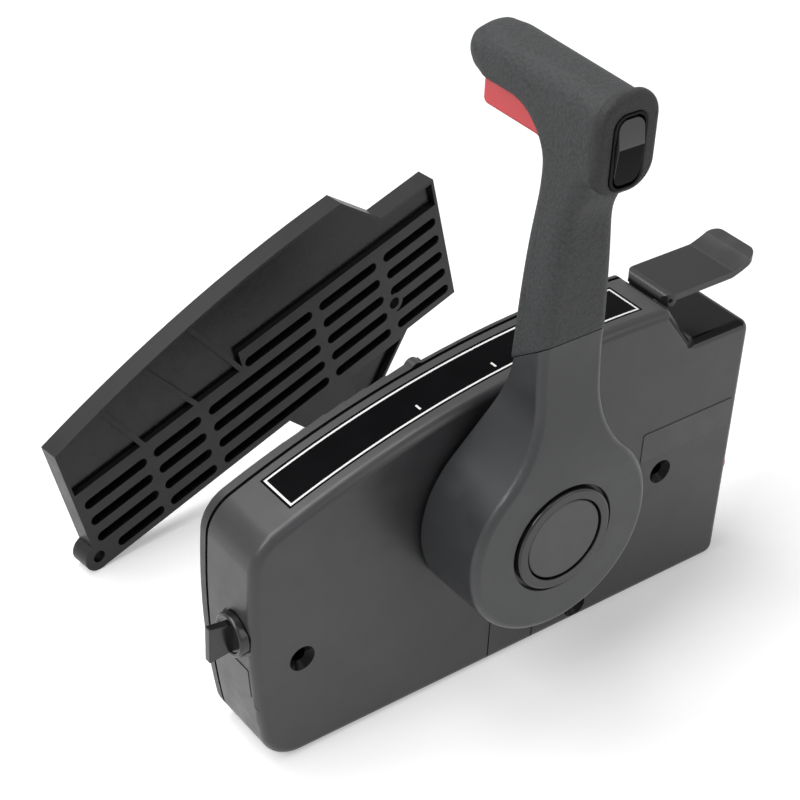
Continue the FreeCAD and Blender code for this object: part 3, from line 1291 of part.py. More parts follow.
def rocker_switch_body():
    y0 = GRIP_NEAR_Y + CAP_THICK + 0.4
    outer = box((-ROCKER_WELL_HALF, ROCKER_WELL_HALF), (y0, y0 + 8.0), (ROCKER_Z - 11.5, ROCKER_Z + 11.5))
    inner = box((-ROCKER_HALF - GAP, ROCKER_HALF + GAP), (y0 - 1, y0 + 6.4), (ROCKER_Z - 10, ROCKER_Z + 10))
    axle_y = GRIP_NEAR_Y + CAP_THICK + ROCKER_AXLE_DEEP
    axle = rod_x(axle_y, ROCKER_Z, ROCKER_AXLE_R, (-ROCKER_WELL_HALF, ROCKER_WELL_HALF))
    return outer.cut(inner).fuse(axle)


def across(points, half):
    """Solid with a YZ outline, carried across from -half to half."""
    corners = [V(-half, y, z) for y, z in points]
    return Part.Face(Part.makePolygon(corners + [corners[0]])).extrude(V(2 * half, 0, 0))


def trim_rocker():
    """Two-way rocker with two slanted faces that meet in a ridge."""
    back_y = GRIP_NEAR_Y + CAP_THICK
    edge_y = GRIP_NEAR_Y - ROCKER_PROUD
    ridge_y = GRIP_NEAR_Y - ROCKER_RIDGE
    low, high = ROCKER_Z - ROCKER_HALF_HIGH, ROCKER_Z + ROCKER_HALF_HIGH
    rear_y = back_y - 1.4
    block = rounded_rect(ROCKER_HALF, ROCKER_HALF_HIGH, ROCKER_ROUND, (ridge_y - 1, rear_y), ROCKER_Z)
    wedge = across([(rear_y, low), (edge_y, low), (ridge_y, ROCKER_RIDGE_Z), (edge_y, high), (rear_y, high)], 10)
    solid = block.common(wedge)
    axle_y = back_y + ROCKER_AXLE_DEEP
    stem = box((-3.0, 3.0), (rear_y - 0.1, axle_y + 2.6), (ROCKER_Z - 3.2, ROCKER_Z + 3.2))
    return solid.fuse(stem).cut(rod_x(axle_y, ROCKER_Z, ROCKER_AXLE_R + RUNNING, THROUGH))


def neutral_lock_trigger():
    """Lift bar under the handle, turned down beside the arm, with a tongue to the rod inside it."""
    near, far = TRIGGER_Y
    top = TRIGGER_TOP_Z - TRIGGER_TRAVEL - 1.0
    tail_z = TRIGGER_LOW_Z - TRIGGER_BEND
    tail_y = near + TRIGGER_TAIL
    body = box((-TRIGGER_HALF, TRIGGER_HALF), (near, far), (tail_z, top))
    bend = rod_x(tail_y + TRIGGER_BEND, tail_z, TRIGGER_BEND, THROUGH)
    under = box(THROUGH, (tail_y + TRIGGER_BEND, far + 1), (tail_z - 1, TRIGGER_LOW_Z))
    body = body.cut(bend).cut(under)
    corner = [e for e in body.Edges if e.BoundBox.XLength > TRIGGER_HALF and e.BoundBox.YMin > far - 0.1]
    corner = [e for e in corner if e.BoundBox.ZMax < TRIGGER_LOW_Z + 0.1]
    body = body.makeFillet(TRIGGER_ROUND + 1.0, corner)
    lower = [e for e in body.Edges if is_trigger_edge(e)]
    body = body.makeFillet(TRIGGER_ROUND, lower)
    tongue = box((-TONGUE_HALF, ROD_X + ROD_R), (ROD_Y - ROD_R, near + 1), (top - TONGUE_THICK, top))
    return body.fuse(tongue)


def is_trigger_edge(edge):
    """True for the two long lower edges of the lift bar."""
    bb = edge.BoundBox
    level = bb.ZLength < 0.01 and abs(bb.ZMin - TRIGGER_LOW_Z) < 0.01
    return bb.XLength < 0.01 and level and bb.YLength > 10


def lock_rod():
    """Rod inside the arm that the trigger lifts out of the neutral lock."""
    top = TRIGGER_TOP_Z - TRIGGER_TRAVEL - 1.0 - TONGUE_THICK
    return rod_z(ROD_X, ROD_Y, ROD_R, (CORE_R + 4.0, top))


# Spacer plate


def spacer_blank(y):
    left_top = (PLATE_LEFT_X, PLATE_LEFT_TOP_Z)
    peak = (PLATE_NOTCH_X[0], PLATE_PEAK_Z)
    leg_x, leg_z = MOUNT_HOLES[1]
    points = [
        left_top, (PLATE_LEFT_X, PLATE_LOW_LEFT_Z), (PLATE_LEG_X[0], PLATE_LOW_LEFT_Z),
        (leg_x - PLATE_LEG_HALF, leg_z), (leg_x + PLATE_LEG_HALF, leg_z),
        (PLATE_LEG_X[1], PLATE_LOW_RIGHT_Z), (PLATE_RIGHT_X, PLATE_LOW_RIGHT_Z),
        (PLATE_RIGHT_X, PLATE_TOP_RIGHT_Z), (PLATE_NOTCH_X[1], PLATE_TOP_RIGHT_Z), peak,
    ]
    edges = [line(points[i], points[i + 1], y[0]) for i in range(len(points) - 1)]
    edges.append(arc(peak, PLATE_MID, left_top, y[0]))
    return plate(edges, y)


def spacer_plate():
    y = (0.0, PLATE_THICK)
    solid = spacer_blank(y)
    x1, z1 = MOUNT_HOLES[0]
    x2, z2 = MOUNT_HOLES[1]
    solid = solid.fuse(rod_y(x1, z1, PLATE_BOSS_R, y))
    solid = solid.fuse(rod_y(x2, z2, PLATE_LEG_BOSS_R, y))
    deep = (-1.0, PLATE_THICK - SLOT_FLOOR)
    for x, first, last in SLOT_COLUMNS:
        for row in range(first, last):
            solid = solid.cut(rounded_slot(x, SLOT_LOW_Z + SLOT_PITCH * row, SLOT_HALF, deep))
    for x, row in SHORT_SLOTS:
        solid = solid.cut(rounded_slot(x, SLOT_LOW_Z + SLOT_PITCH * row, SLOT_HALF, deep))
    for pocket in plate_pockets():
        solid = solid.cut(pocket)
    for x, z in MOUNT_HOLES:
        wall = rod_y(x, z, PLATE_HOLE_R + 2.6, y)
        solid = solid.fuse(wall.common(spacer_blank(y)))
        solid = solid.cut(rod_y(x, z, PLATE_HOLE_R, (-1, PLATE_THICK + 1)))
    return solid.removeSplitter()


def plate_pockets():
    """Shallow pockets above the slots, parted by slanted ribs, and one beside the leg."""
    y = (-1.0, POCKET_DEEP)
    field = face_at(spacer_blank((0.0, 1.0)), 0.0)
    inner = Part.Face(field.OuterWire.makeOffset2D(-POCKET_RIM))
    inner = inner.extrude(V(0, 2.0 + POCKET_DEEP, 0))
    inner.translate(V(0, -1.0, 0))
    low, high = POCKET_LOW_Z
    above = box((PLATE_LEFT_X, 0.0), y, (low, 90)).fuse(box((0.0, PLATE_RIGHT_X), y, (high, 90)))
    field = inner.common(above)
    for foot, head in POCKET_RIBS:
        rib = polygon([(foot, low - 5), (foot + POCKET_RIB, low - 5), (head + POCKET_RIB, 46), (head, 46)], (-2, 9))
        field = field.cut(rib)
    pockets = [field]
    corner = inner.common(polygon([(60, -56), (100, -56), (78, -84), (62, -80)], y))
    pockets.append(corner)
    return pockets


def stand_plate(solid):
    """Stand the plate on its lower left boss and its leg, beside the box."""
    x1, z1 = MOUNT_HOLES[0]
    x2, z2 = MOUNT_HOLES[1]
    span = math.hypot(x2 - x1, z2 - z1)
    drop = math.degrees(math.atan2(z1 - z2, x2 - x1))
    tilt = drop + math.degrees(math.asin((PLATE_LEG_BOSS_R - PLATE_BOSS_R) / span))
    solid.translate(V(-x1, 0, -z1))
    solid.rotate(V(0, 0, 0), V(0, 1, 0), -tilt)
    solid.rotate(V(0, 0, 0), V(0, 0, 1), PLATE_YAW)
    solid.translate(V(PLATE_X, PLATE_Y, BASE_Z + PLATE_BOSS_R))
    return solid


NODES = {
    "front_housing": front_housing,
    "back_cover": back_cover,
    "cover_screws": cover_screws,
    "arc_label": arc_label,
    "side_label": side_label,
    "end_label": end_label,
    "front_bush": front_bush,
    "rear_bush": rear_bush,
    "mechanism_frame": mechanism_frame,
    "frame_screws": frame_screws,
    "shift_stud": lambda: gear_stud(SHIFT_XZ),
    "throttle_stud": lambda: gear_stud(THROTTLE_XZ),
    "drive_gear": drive_gear,
    "shift_crank": shift_crank,
    "throttle_crank": throttle_crank,
    "detent_roller": detent_roller,
    "detent_spring": detent_spring,
    "neutral_switch": neutral_switch,
    "friction_shoe": friction_shoe,
    "friction_nut": friction_nut,
    "friction_spindle": friction_spindle,
    "friction_knob": friction_knob,
    "key_switch_body": key_switch_body,
    "key_switch_nut": key_switch_nut,
    "choke_sleeve": choke_sleeve,
    "key_rotor": key_rotor,
    "stop_switch_body": stop_switch_body,
    "stop_switch_nut": stop_switch_nut,
    "stop_button": stop_button,
    "cable_clamp": cable_clamp,
    "harness_grommet": harness_grommet,
    "fast_idle_lever": fast_idle_lever,
    "idle_bracket": idle_bracket,
    "idle_pin": idle_pin,
    "lever_hub": lever_hub,
    "hub_ring": hub_ring,
    "throttle_only_button": throttle_only_button,
    "button_spring": button_spring,
    "lever_shaft": lever_shaft,
    "lever_bolt": lever_bolt,
    "lever_core": lever_core,
    "lever_grip": lever_grip,
    "grip_end_cap": grip_end_cap,
    "rocker_bezel": rocker_bezel,
    "rocker_switch_body": rocker_switch_body,
    "trim_rocker": trim_rocker,
    "neutral_lock_trigger": neutral_lock_trigger,
    "lock_rod": lock_rod,
    "spacer_plate": lambda: stand_plate(spacer_plate()),
}

for node, make in NODES.items():
    shape = make()
    print(node, len(shape.Solids), shape.isValid(), round(shape.Volume, 1))
    save(node, shape)
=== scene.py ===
"""Dresses the side-mount throttle control: moulded forms, finishes, printed faces, light and camera."""
import json
import logging
import math
from collections.abc import Callable
from dataclasses import dataclass
from enum import Enum

import bmesh
import bpy
from mathutils import Matrix, Vector

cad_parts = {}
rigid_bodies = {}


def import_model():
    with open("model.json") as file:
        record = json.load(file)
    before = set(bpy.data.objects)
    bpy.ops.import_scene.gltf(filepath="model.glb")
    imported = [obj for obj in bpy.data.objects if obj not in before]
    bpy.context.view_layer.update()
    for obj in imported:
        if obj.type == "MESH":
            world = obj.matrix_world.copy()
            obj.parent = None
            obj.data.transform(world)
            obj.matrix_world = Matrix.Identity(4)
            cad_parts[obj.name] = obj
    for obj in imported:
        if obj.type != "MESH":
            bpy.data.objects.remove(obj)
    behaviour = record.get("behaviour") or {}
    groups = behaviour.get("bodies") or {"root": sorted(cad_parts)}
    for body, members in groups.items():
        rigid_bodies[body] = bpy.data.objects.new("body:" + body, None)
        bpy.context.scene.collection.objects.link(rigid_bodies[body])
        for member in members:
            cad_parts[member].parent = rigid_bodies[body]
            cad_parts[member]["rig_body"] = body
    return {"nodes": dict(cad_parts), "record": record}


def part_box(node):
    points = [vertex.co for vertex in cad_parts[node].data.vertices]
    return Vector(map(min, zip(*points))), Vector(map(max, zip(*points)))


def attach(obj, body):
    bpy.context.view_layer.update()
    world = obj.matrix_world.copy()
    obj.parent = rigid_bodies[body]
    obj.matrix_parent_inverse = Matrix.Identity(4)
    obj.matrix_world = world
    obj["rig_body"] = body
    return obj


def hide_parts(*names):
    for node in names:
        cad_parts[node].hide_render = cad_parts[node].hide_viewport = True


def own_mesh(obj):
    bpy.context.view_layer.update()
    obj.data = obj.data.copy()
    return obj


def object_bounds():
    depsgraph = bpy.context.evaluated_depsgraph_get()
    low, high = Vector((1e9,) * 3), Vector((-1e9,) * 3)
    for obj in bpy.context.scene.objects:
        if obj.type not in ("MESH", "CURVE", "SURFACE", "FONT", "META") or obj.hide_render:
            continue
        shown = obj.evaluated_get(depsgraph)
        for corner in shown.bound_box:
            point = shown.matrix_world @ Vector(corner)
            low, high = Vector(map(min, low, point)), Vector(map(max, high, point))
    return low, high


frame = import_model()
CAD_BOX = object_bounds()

MM = 0.001
Colour = tuple[float, float, float]
Point = tuple[float, float, float]
Picker = Callable[[Vector, Vector], bool]

log = logging.getLogger("throttle_control")


# ---- shader graphs


class Graph:
    """A small builder for one material's node tree."""

    def __init__(self, name: str) -> None:
        """Starts an empty material.

        Args:
            name: the material's name.
        """
        self.material = bpy.data.materials.new(name)
        self.material.use_nodes = True
        self.tree = self.material.node_tree
        self.tree.nodes.clear()
        self.output = self.tree.nodes.new("ShaderNodeOutputMaterial")
        self.coords = self.tree.nodes.new("ShaderNodeTexCoord").outputs["Object"]

    def node(self, kind: str, inputs: dict | None = None, **settings: object) -> bpy.types.Node:
        """Adds a node.

        Args:
            kind: the node's type name, without its ShaderNode prefix.
            inputs: socket name or number to a constant or an output socket.
            settings: properties set on the node.

        Returns:
            The new node.
        """
        made = self.tree.nodes.new("ShaderNode" + kind)
        for key, value in settings.items():
            setattr(made, key, value)
        for key, value in (inputs or {}).items():
            if isinstance(value, bpy.types.NodeSocket):
                self.tree.links.new(value, made.inputs[key])
            else:
                made.inputs[key].default_value = value
        return made

    def math(self, operation: str, a: object, b: object = 0.0) -> bpy.types.NodeSocket:
        """Returns the output of one Math node."""
        return self.node("Math", {0: a, 1: b}, operation=operation).outputs[0]

    def noise(self, size: float, detail: float = 2.0, roughness: float = 0.5) -> bpy.types.NodeSocket:
        """Noise whose blotches are about a given size.

        Args:
            size: blotch size in metres.
            detail: octaves.
            roughness: how strong the finer octaves are.

        Returns:
            The noise value, from 0 to 1.
        """
        inputs = {"Vector": self.coords, "Scale": 1.0 / size, "Detail": detail, "Roughness": roughness}
        return self.node("TexNoise", inputs).outputs["Fac"]

    def ramp(
        self, value: bpy.types.NodeSocket, low: float, high: float, to_low: float, to_high: float,
    ) -> bpy.types.NodeSocket:
        """Returns a value carried from one range to another, clamped."""
        inputs = {"Value": value, "From Min": low, "From Max": high, "To Min": to_low, "To Max": to_high}
        return self.node("MapRange", inputs).outputs["Result"]

    def blend(self, factor: object, a: object, b: object) -> bpy.types.NodeSocket:
        """Returns colour a mixed towards colour b."""
        mix = self.node("Mix", {"Factor": factor}, data_type="RGBA")
        for socket, value in ((mix.inputs[6], a), (mix.inputs[7], b)):
            if isinstance(value, bpy.types.NodeSocket):
                self.tree.links.new(value, socket)
            else:
                socket.default_value = (*value, 1.0)
        return mix.outputs[2]

    def bump(self, height: bpy.types.NodeSocket, depth: float, strength: float) -> bpy.types.NodeSocket:
        """Returns a normal bumped by a height.

        Args:
            height: the height, from 0 to 1.
            depth: what a height of 1 stands for, in metres.
            strength: how much of it shows.

        Returns:
            The bumped normal.
        """
        inputs = {"Height": height, "Distance": depth, "Strength": strength}
        return self.node("Bump", inputs).outputs["Normal"]

    def surface(self, **inputs: object) -> bpy.types.Material:
        """Closes the graph with the main shader.

        Args:
            inputs: the shader's sockets, with underscores for spaces.

        Returns:
            The finished material.
        """
        named = {key.replace("_", " "): value for key, value in inputs.items()}
        shader = self.node("BsdfPrincipled", named)
        self.tree.links.new(shader.outputs[0], self.output.inputs["Surface"])
        return self.material


# ---- finishes


@dataclass(frozen=True)
class Moulded:
    """Injection-moulded plastic with a fine grain, and optionally a band of painted shade along a groove."""

    name: str
    colour: Colour
    roughness: float = 0.5
    grain: float = 0.45 * MM
    depth: float = 0.06 * MM
    strength: float = 0.3
    mottle: float = 0.12
    specular: float = 0.5
    # A band of painted shade beside the groove to the back cover: its range of Y, then its black colour.
    seam: tuple[float, float] | None = None
    groove_shade_colour: Colour = (0.002, 0.002, 0.002)
    blotch: float = 28 * MM
    sheen: float = 9 * MM

    def make(self) -> bpy.types.Material:
        """Returns the material."""
        g = Graph(self.name)
        broad = g.noise(self.blotch, 3.0)
        fine = g.noise(self.grain, 3.0, 0.6)
        dark = tuple(c * (1 - self.mottle) for c in self.colour)
        light = tuple(min(1.0, c * (1 + self.mottle)) for c in self.colour)
        shade = g.blend(g.ramp(broad, 0.3, 0.7, 0.0, 1.0), dark, light)
        specks = g.ramp(fine, 0.35, 0.75, 0.0, 0.35)
        shade = g.blend(specks, shade, light)
        rough = g.ramp(g.noise(self.sheen, 2.0), 0.3, 0.7, self.roughness - 0.05, self.roughness + 0.05)
        specular = self.specular
        # Painted shade: faces inside the band are painted black with no reflection, so the groove between
        # housing and cover reads wider and darker.
        if self.seam is not None:
            depth = g.node("SeparateXYZ", {0: g.coords}).outputs["Y"]
            low, high = self.seam
            inside = g.math("MULTIPLY", g.math("GREATER_THAN", depth, low), g.math("LESS_THAN", depth, high))
            shade = g.blend(inside, shade, self.groove_shade_colour)
            specular = g.ramp(inside, 0.0, 1.0, self.specular, 0.0)
        return g.surface(
            Base_Color=shade, Roughness=rough, Specular_IOR_Level=specular,
            Normal=g.bump(fine, self.depth, self.strength),
        )


@dataclass(frozen=True)
class SoftTouch:
    """Soft-touch rubber skin with a pebbled grain."""

    name: str
    colour: Colour
    roughness: float = 0.62
    pebble: float = 1.2 * MM
    depth: float = 0.35 * MM
    strength: float = 0.8

    def make(self) -> bpy.types.Material:
        """Returns the material."""
        g = Graph(self.name)
        cells = g.node("TexVoronoi", {"Vector": g.coords, "Scale": 1.0 / self.pebble}, feature="SMOOTH_F1")
        pebble = cells.outputs["Distance"]
        fine = g.noise(0.35 * MM, 2.0)
        height = g.math("ADD", g.math("MULTIPLY", pebble, -1.0), g.math("MULTIPLY", fine, 0.5))
        light = tuple(min(1.0, c * 1.55) for c in self.colour)
        dark = tuple(c * 0.6 for c in self.colour)
        shade = g.blend(g.ramp(pebble, 0.15, 0.7, 0.0, 1.0), light, dark)
        shade = g.blend(g.ramp(g.noise(20 * MM, 2.0), 0.3, 0.7, 0.0, 0.35), shade, light)
        rough = g.ramp(fine, 0.3, 0.7, self.roughness - 0.06, self.roughness + 0.08)
        return g.surface(
            Base_Color=shade, Roughness=rough, Specular_IOR_Level=0.45,
            Normal=g.bump(height, self.depth, self.strength),
        )


@dataclass(frozen=True)
class Metal:
    """Bare or plated metal with fine marks."""

    name: str
    colour: Colour
    roughness: float = 0.3
    streak: float = 0.25
    marks: float = 0.6 * MM

    def make(self) -> bpy.types.Material:
        """Returns the material."""
        g = Graph(self.name)
        stretched = g.node("Mapping", {"Vector": g.coords, "Scale": (1.0, 12.0, 1.0)}).outputs[0]
        inputs = {"Vector": stretched, "Scale": 1.0 / (8 * self.marks), "Detail": 4.0}
        lines = g.node("TexNoise", inputs).outputs["Fac"]
        dull = tuple(c * (1 - self.streak) for c in self.colour)
        shade = g.blend(g.ramp(lines, 0.35, 0.7, 0.0, 1.0), self.colour, dull)
        rough = g.ramp(lines, 0.3, 0.7, self.roughness - 0.06, self.roughness + 0.1)
        return g.surface(
            Base_Color=shade, Metallic=1.0, Roughness=rough,
            Normal=g.bump(g.noise(self.marks, 2.0), 0.03 * MM, 0.25),
        )


@dataclass(frozen=True)
class Printed:
    """Glossy label film with a printed border, drawn in two of the object's own axes."""

    name: str
    centre: tuple[float, float]
    half: tuple[float, float]
    axes: tuple[str, str]
    line: float = 0.8 * MM
    film: Colour = (0.0025, 0.0025, 0.003)
    edge: float = 0.0
    ink: Colour = (0.86, 0.86, 0.84)
    roughness: float = 0.3
    specular: float = 0.015

    def inside(
        self, g: Graph, along: bpy.types.NodeSocket, across: bpy.types.NodeSocket, half: tuple[float, float],
    ) -> bpy.types.NodeSocket:
        """Masks a rectangle round the label's centre.

        Args:
            g: the graph that gets the nodes.
            along: the place along the label.
            across: the place across it.
            half: the rectangle's half sizes.

        Returns:
            A value that is 1 inside the rectangle and 0 outside it.
        """
        first = g.math("LESS_THAN", g.math("ABSOLUTE", g.math("SUBTRACT", along, self.centre[0])), half[0])
        second = g.math("LESS_THAN", g.math("ABSOLUTE", g.math("SUBTRACT", across, self.centre[1])), half[1])
        return g.math("MULTIPLY", first, second)

    def make(self) -> bpy.types.Material:
        """Returns the material."""
        g = Graph(self.name)
        parts = g.node("SeparateXYZ", {0: g.coords})
        along, across = (parts.outputs[axis] for axis in self.axes)
        outer = tuple(h - self.edge for h in self.half)
        inner = tuple(h - self.line for h in outer)
        outer_area = self.inside(g, along, across, outer)
        inner_area = self.inside(g, along, across, inner)
        mask = g.math("SUBTRACT", outer_area, inner_area)
        worn = g.math("MULTIPLY", mask, g.ramp(g.noise(0.6 * MM, 2.0), 0.25, 0.45, 0.75, 1.0))
        lighter = tuple(c * 1.5 for c in self.film)
        film = g.blend(g.ramp(g.noise(15 * MM), 0.3, 0.7, 0.0, 1.0), self.film, lighter)
        return g.surface(
            Base_Color=g.blend(worn, film, self.ink), Roughness=self.roughness,
            Specular_IOR_Level=self.specular,
            Normal=g.bump(g.noise(6 * MM, 1.0), 0.05 * MM, 0.08),
        )


class Finish(Enum):
    """Every finish on the control, with the painted shade and painted highlight that some faces carry."""

    # The box plastic carries a band of painted shade along the groove to the back cover.
    BOX = Moulded("box plastic", (0.026, 0.026, 0.028), 0.36, strength=0.22, seam=(-6.9 * MM, -5.9 * MM))
    COVER = Moulded("cover plastic", (0.013, 0.013, 0.014), 0.42)
    LEVER = Moulded("lever plastic", (0.026, 0.027, 0.029), 0.38, strength=0.25)
    GLOSS = Moulded("polished black", (0.012, 0.012, 0.013), 0.12, strength=0.02, mottle=0.05)
    KNOB = Moulded("knob plastic", (0.018, 0.018, 0.019), 0.4, strength=0.15)
    KNOB_GLOSS = Moulded("knob gloss", (0.010, 0.010, 0.011), 0.2, strength=0.06, mottle=0.05)
    PLATE = Moulded("plate plastic", (0.009, 0.009, 0.010), 0.38, strength=0.5, specular=0.32)
    PADDLE = Moulded("paddle plastic", (0.016, 0.016, 0.017), 0.3, strength=0.15)
    # Painted shade: near-black on the plate's pocket and slot floors, and on the paddle's flat part, which is
    # painted darker than its upturned tip.
    POCKET_AND_FLAT_SHADE = Moulded("painted shade in pockets and paddle flat", (0.003, 0.003, 0.003), 0.25, strength=0.1, specular=0.3)
    # Painted shade: near-black with weak reflection, on the countersink holes, on the shelf in the paddle's
    # shadow, and on the rocker bezel, whose own black it darkens further.
    SINK_SHELF_BEZEL_SHADE = Moulded("painted shade in sinks, shelf, bezel", (0.003, 0.003, 0.003), 0.22, strength=0.05, specular=0.1)
    # Painted highlight: the rocker is painted lighter than the other black gloss parts, standing in for the
    # bright reflection on its upper facet.
    ROCKER_LIT = Moulded("rocker painted highlight", (0.036, 0.036, 0.037), 0.15, strength=0.02, mottle=0.05)
    # Painted shade: the rocker's lower facet is painted near-black with little reflection, the shaded copy of
    # the lit rocker above.
    SHADE = Moulded("dark facet", (0.004, 0.004, 0.004), 0.12, strength=0.02, specular=0.06)
    DISC = Moulded("button disc", (0.040, 0.040, 0.042), 0.40, strength=0.2)
    RED = Moulded("red plastic", (0.50, 0.028, 0.036), 0.34, strength=0.12, mottle=0.05)
    ACETAL = Moulded("natural acetal", (0.80, 0.79, 0.74), 0.35, strength=0.1, mottle=0.04)
    GRIP = SoftTouch("grip skin", (0.022, 0.023, 0.024))
    CAP = SoftTouch("cap skin", (0.008, 0.008, 0.009), 0.6)
    RUBBER = SoftTouch("moulded rubber", (0.015, 0.015, 0.016), 0.7, pebble=0.5 * MM, strength=0.2)
    STEEL = Metal("zinc plated steel", (0.60, 0.61, 0.62), 0.34)
    SHAFT = Metal("turned steel", (0.54, 0.55, 0.57), 0.22)
    BRASS = Metal("machined brass", (0.75, 0.58, 0.28), 0.28)
    ALLOY = Metal("die-cast alloy", (0.62, 0.63, 0.64), 0.42)
    CHROME = Metal("bright chrome", (0.80, 0.80, 0.82), 0.10, streak=0.06)
    ARC_LABEL = Printed(
        "arc label film", (-14.25 * MM, -21.9 * MM), (94.25 * MM, 10.9 * MM), ("X", "Y"),
        line=1.0 * MM, edge=0.8 * MM,
    )
    SIDE_LABEL = Printed(
        "side label film", (112.05 * MM, -12.05 * MM), (28.5 * MM, 8.4 * MM), ("X", "Z"), line=0.35 * MM,
        film=(0.028, 0.028, 0.030), ink=(0.008, 0.008, 0.008), roughness=0.36, specular=0.5,
    )
    END_LABEL = Printed(
        "end label film", (-28.1 * MM, -52.0 * MM), (7.6 * MM, 7.9 * MM), ("Y", "Z"), line=0.3 * MM,
        film=(0.024, 0.024, 0.025), ink=(0.008, 0.008, 0.008), roughness=0.36, specular=0.5,
    )
    INK = Moulded("printed ink", (0.80, 0.80, 0.78), 0.5, strength=0.05, mottle=0.06)


class Paints:
    """Makes each finish once and paints objects with it."""

    def __init__(self) -> None:
        """Starts with nothing made."""
        self.made: dict[Finish, bpy.types.Material] = {}

    def get(self, finish: Finish) -> bpy.types.Material:
        """Returns the material for a finish."""
        if finish not in self.made:
            self.made[finish] = finish.value.make()
        return self.made[finish]

    def paint(self, obj: bpy.types.Object, finish: Finish) -> None:
        """Gives an object one finish all over.

        Args:
            obj: a mesh object.
            finish: what it is made of.
        """
        if not obj.data.materials:
            obj.data.materials.append(None)
        for i in range(len(obj.data.materials)):
            obj.data.materials[i] = self.get(finish)

    def pick(self, obj: bpy.types.Object, finish: Finish, chosen: Picker) -> None:
        """Gives the faces that a test chooses a finish of their own; in this script that is always a painted
        shade.

        Args:
            obj: a mesh object that is already painted.
            finish: the chosen faces' finish.
            chosen: the test, on a face's centre and normal.
        """
        obj.data.materials.append(self.get(finish))
        place = len(obj.data.materials) - 1
        for face in obj.data.polygons:
            if chosen(face.center, face.normal):
                face.material_index = place


# ---- carried-over nodes


NODE_FINISH: dict[str, Finish] = {
    "front_housing": Finish.BOX,
    "back_cover": Finish.COVER,
    "cover_screws": Finish.STEEL,
    "arc_label": Finish.ARC_LABEL,
    "side_label": Finish.SIDE_LABEL,
    "end_label": Finish.END_LABEL,
    "front_bush": Finish.ACETAL,
    "rear_bush": Finish.ACETAL,
    "mechanism_frame": Finish.STEEL,
    "frame_screws": Finish.STEEL,
    "shift_stud": Finish.SHAFT,
    "throttle_stud": Finish.SHAFT,
    "drive_gear": Finish.STEEL,
    "shift_crank": Finish.STEEL,
    "throttle_crank": Finish.STEEL,
    "detent_roller": Finish.SHAFT,
    "detent_spring": Finish.STEEL,
    "neutral_switch": Finish.KNOB,
    "friction_shoe": Finish.RUBBER,
    "friction_nut": Finish.BRASS,
    "friction_spindle": Finish.SHAFT,
    "friction_knob": Finish.KNOB,
    "key_switch_body": Finish.KNOB,
    "key_switch_nut": Finish.CHROME,
    "choke_sleeve": Finish.CHROME,
    "key_rotor": Finish.CHROME,
    "stop_switch_body": Finish.KNOB,
    "stop_switch_nut": Finish.KNOB,
    "stop_button": Finish.RED,
    "cable_clamp": Finish.ALLOY,
    "harness_grommet": Finish.RUBBER,
    "fast_idle_lever": Finish.PADDLE,
    "idle_bracket": Finish.KNOB,
    "idle_pin": Finish.SHAFT,
    "lever_hub": Finish.LEVER,
    "hub_ring": Finish.GLOSS,
    "throttle_only_button": Finish.DISC,
    "button_spring": Finish.RUBBER,
    "lever_shaft": Finish.SHAFT,
    "lever_bolt": Finish.STEEL,
    "lever_core": Finish.ALLOY,
    "lever_grip": Finish.GRIP,
    "grip_end_cap": Finish.CAP,
    # The bezel gets painted shade, darker than its own black.
    "rocker_bezel": Finish.SINK_SHELF_BEZEL_SHADE,
    "rocker_switch_body": Finish.KNOB,
    # The rocker gets the painted highlight; its lower facet gets painted shade.
    "trim_rocker": Finish.ROCKER_LIT,
    "neutral_lock_trigger": Finish.RED,
    "lock_rod": Finish.SHAFT,
    "spacer_plate": Finish.PLATE,
}


@dataclass
class Nodes:
    """The frame's own nodes, painted as they are."""

    paints: Paints

    def dress(self) -> None:
        """Paints every node."""
        for name, obj in frame["nodes"].items():
            self.paints.paint(obj, NODE_FINISH[name])
            log.info("dressed node %s", name)


# ---- finer copies of the moulded nodes


MOUNTS: dict[str, dict] = {mount["name"]: mount for mount in frame["record"]["mounts"]}
SCREW_HOLES = [(m["pos_m"][0], m["pos_m"][2]) for name, m in MOUNTS.items() if name.startswith("screw_hole")]
FRONT_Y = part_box("front_housing")[0].y
FRONT_SKIN = 0.05 * MM
SINK_R = 6.6 * MM
SHELF_X = 92 * MM
SHELF_Z = (37 * MM, 80 * MM)
SHELF_BACK_Y = -2 * MM
SHELF_RISE = 0.15
POCKET_FLOOR = 4.0 * MM
FACING = 0.5
BEND_X = 134 * MM
LEVEL = 0.99
RIDGE_LEAN = 0.02


def in_countersink(centre: Vector) -> bool:
    """Tells whether a face of the housing lies in one of its three screw holes."""
    if centre.y < FRONT_Y + FRONT_SKIN:
        return False
    return any(math.hypot(centre.x - x, centre.z - z) < SINK_R for x, z in SCREW_HOLES)


def sunk_or_shelf(centre: Vector, normal: Vector) -> bool:
    """Picks the housing's screw holes and the shelf under the paddle, which get painted shade.

    Args:
        centre: the face's centre.
        normal: the way it faces.

    Returns:
        Whether the face is picked.
    """
    low, high = SHELF_Z
    beside = centre.x > SHELF_X and low < centre.z < high and centre.y < SHELF_BACK_Y
    return (beside and normal.z > SHELF_RISE) or in_countersink(centre)


def in_pocket(centre: Vector, normal: Vector) -> bool:
    """Picks the floors of the spacer plate's pockets and slots, which get painted shade.

    Args:
        centre: the face's centre.
        normal: the way it faces.

    Returns:
        Whether the face is picked.
    """
    hole = MOUNTS["spacer_hole_forward_low"]
    away = Vector(hole["axis"])
    before_middle = (Vector(hole["pos_m"]) - centre).dot(away)
    return before_middle < POCKET_FLOOR and normal.dot(away) < -FACING


def on_flat(centre: Vector, normal: Vector) -> bool:
    """Picks the paddle's flat part, forward of its bend, which gets painted shade."""
    return normal.z > LEVEL and centre.x < BEND_X


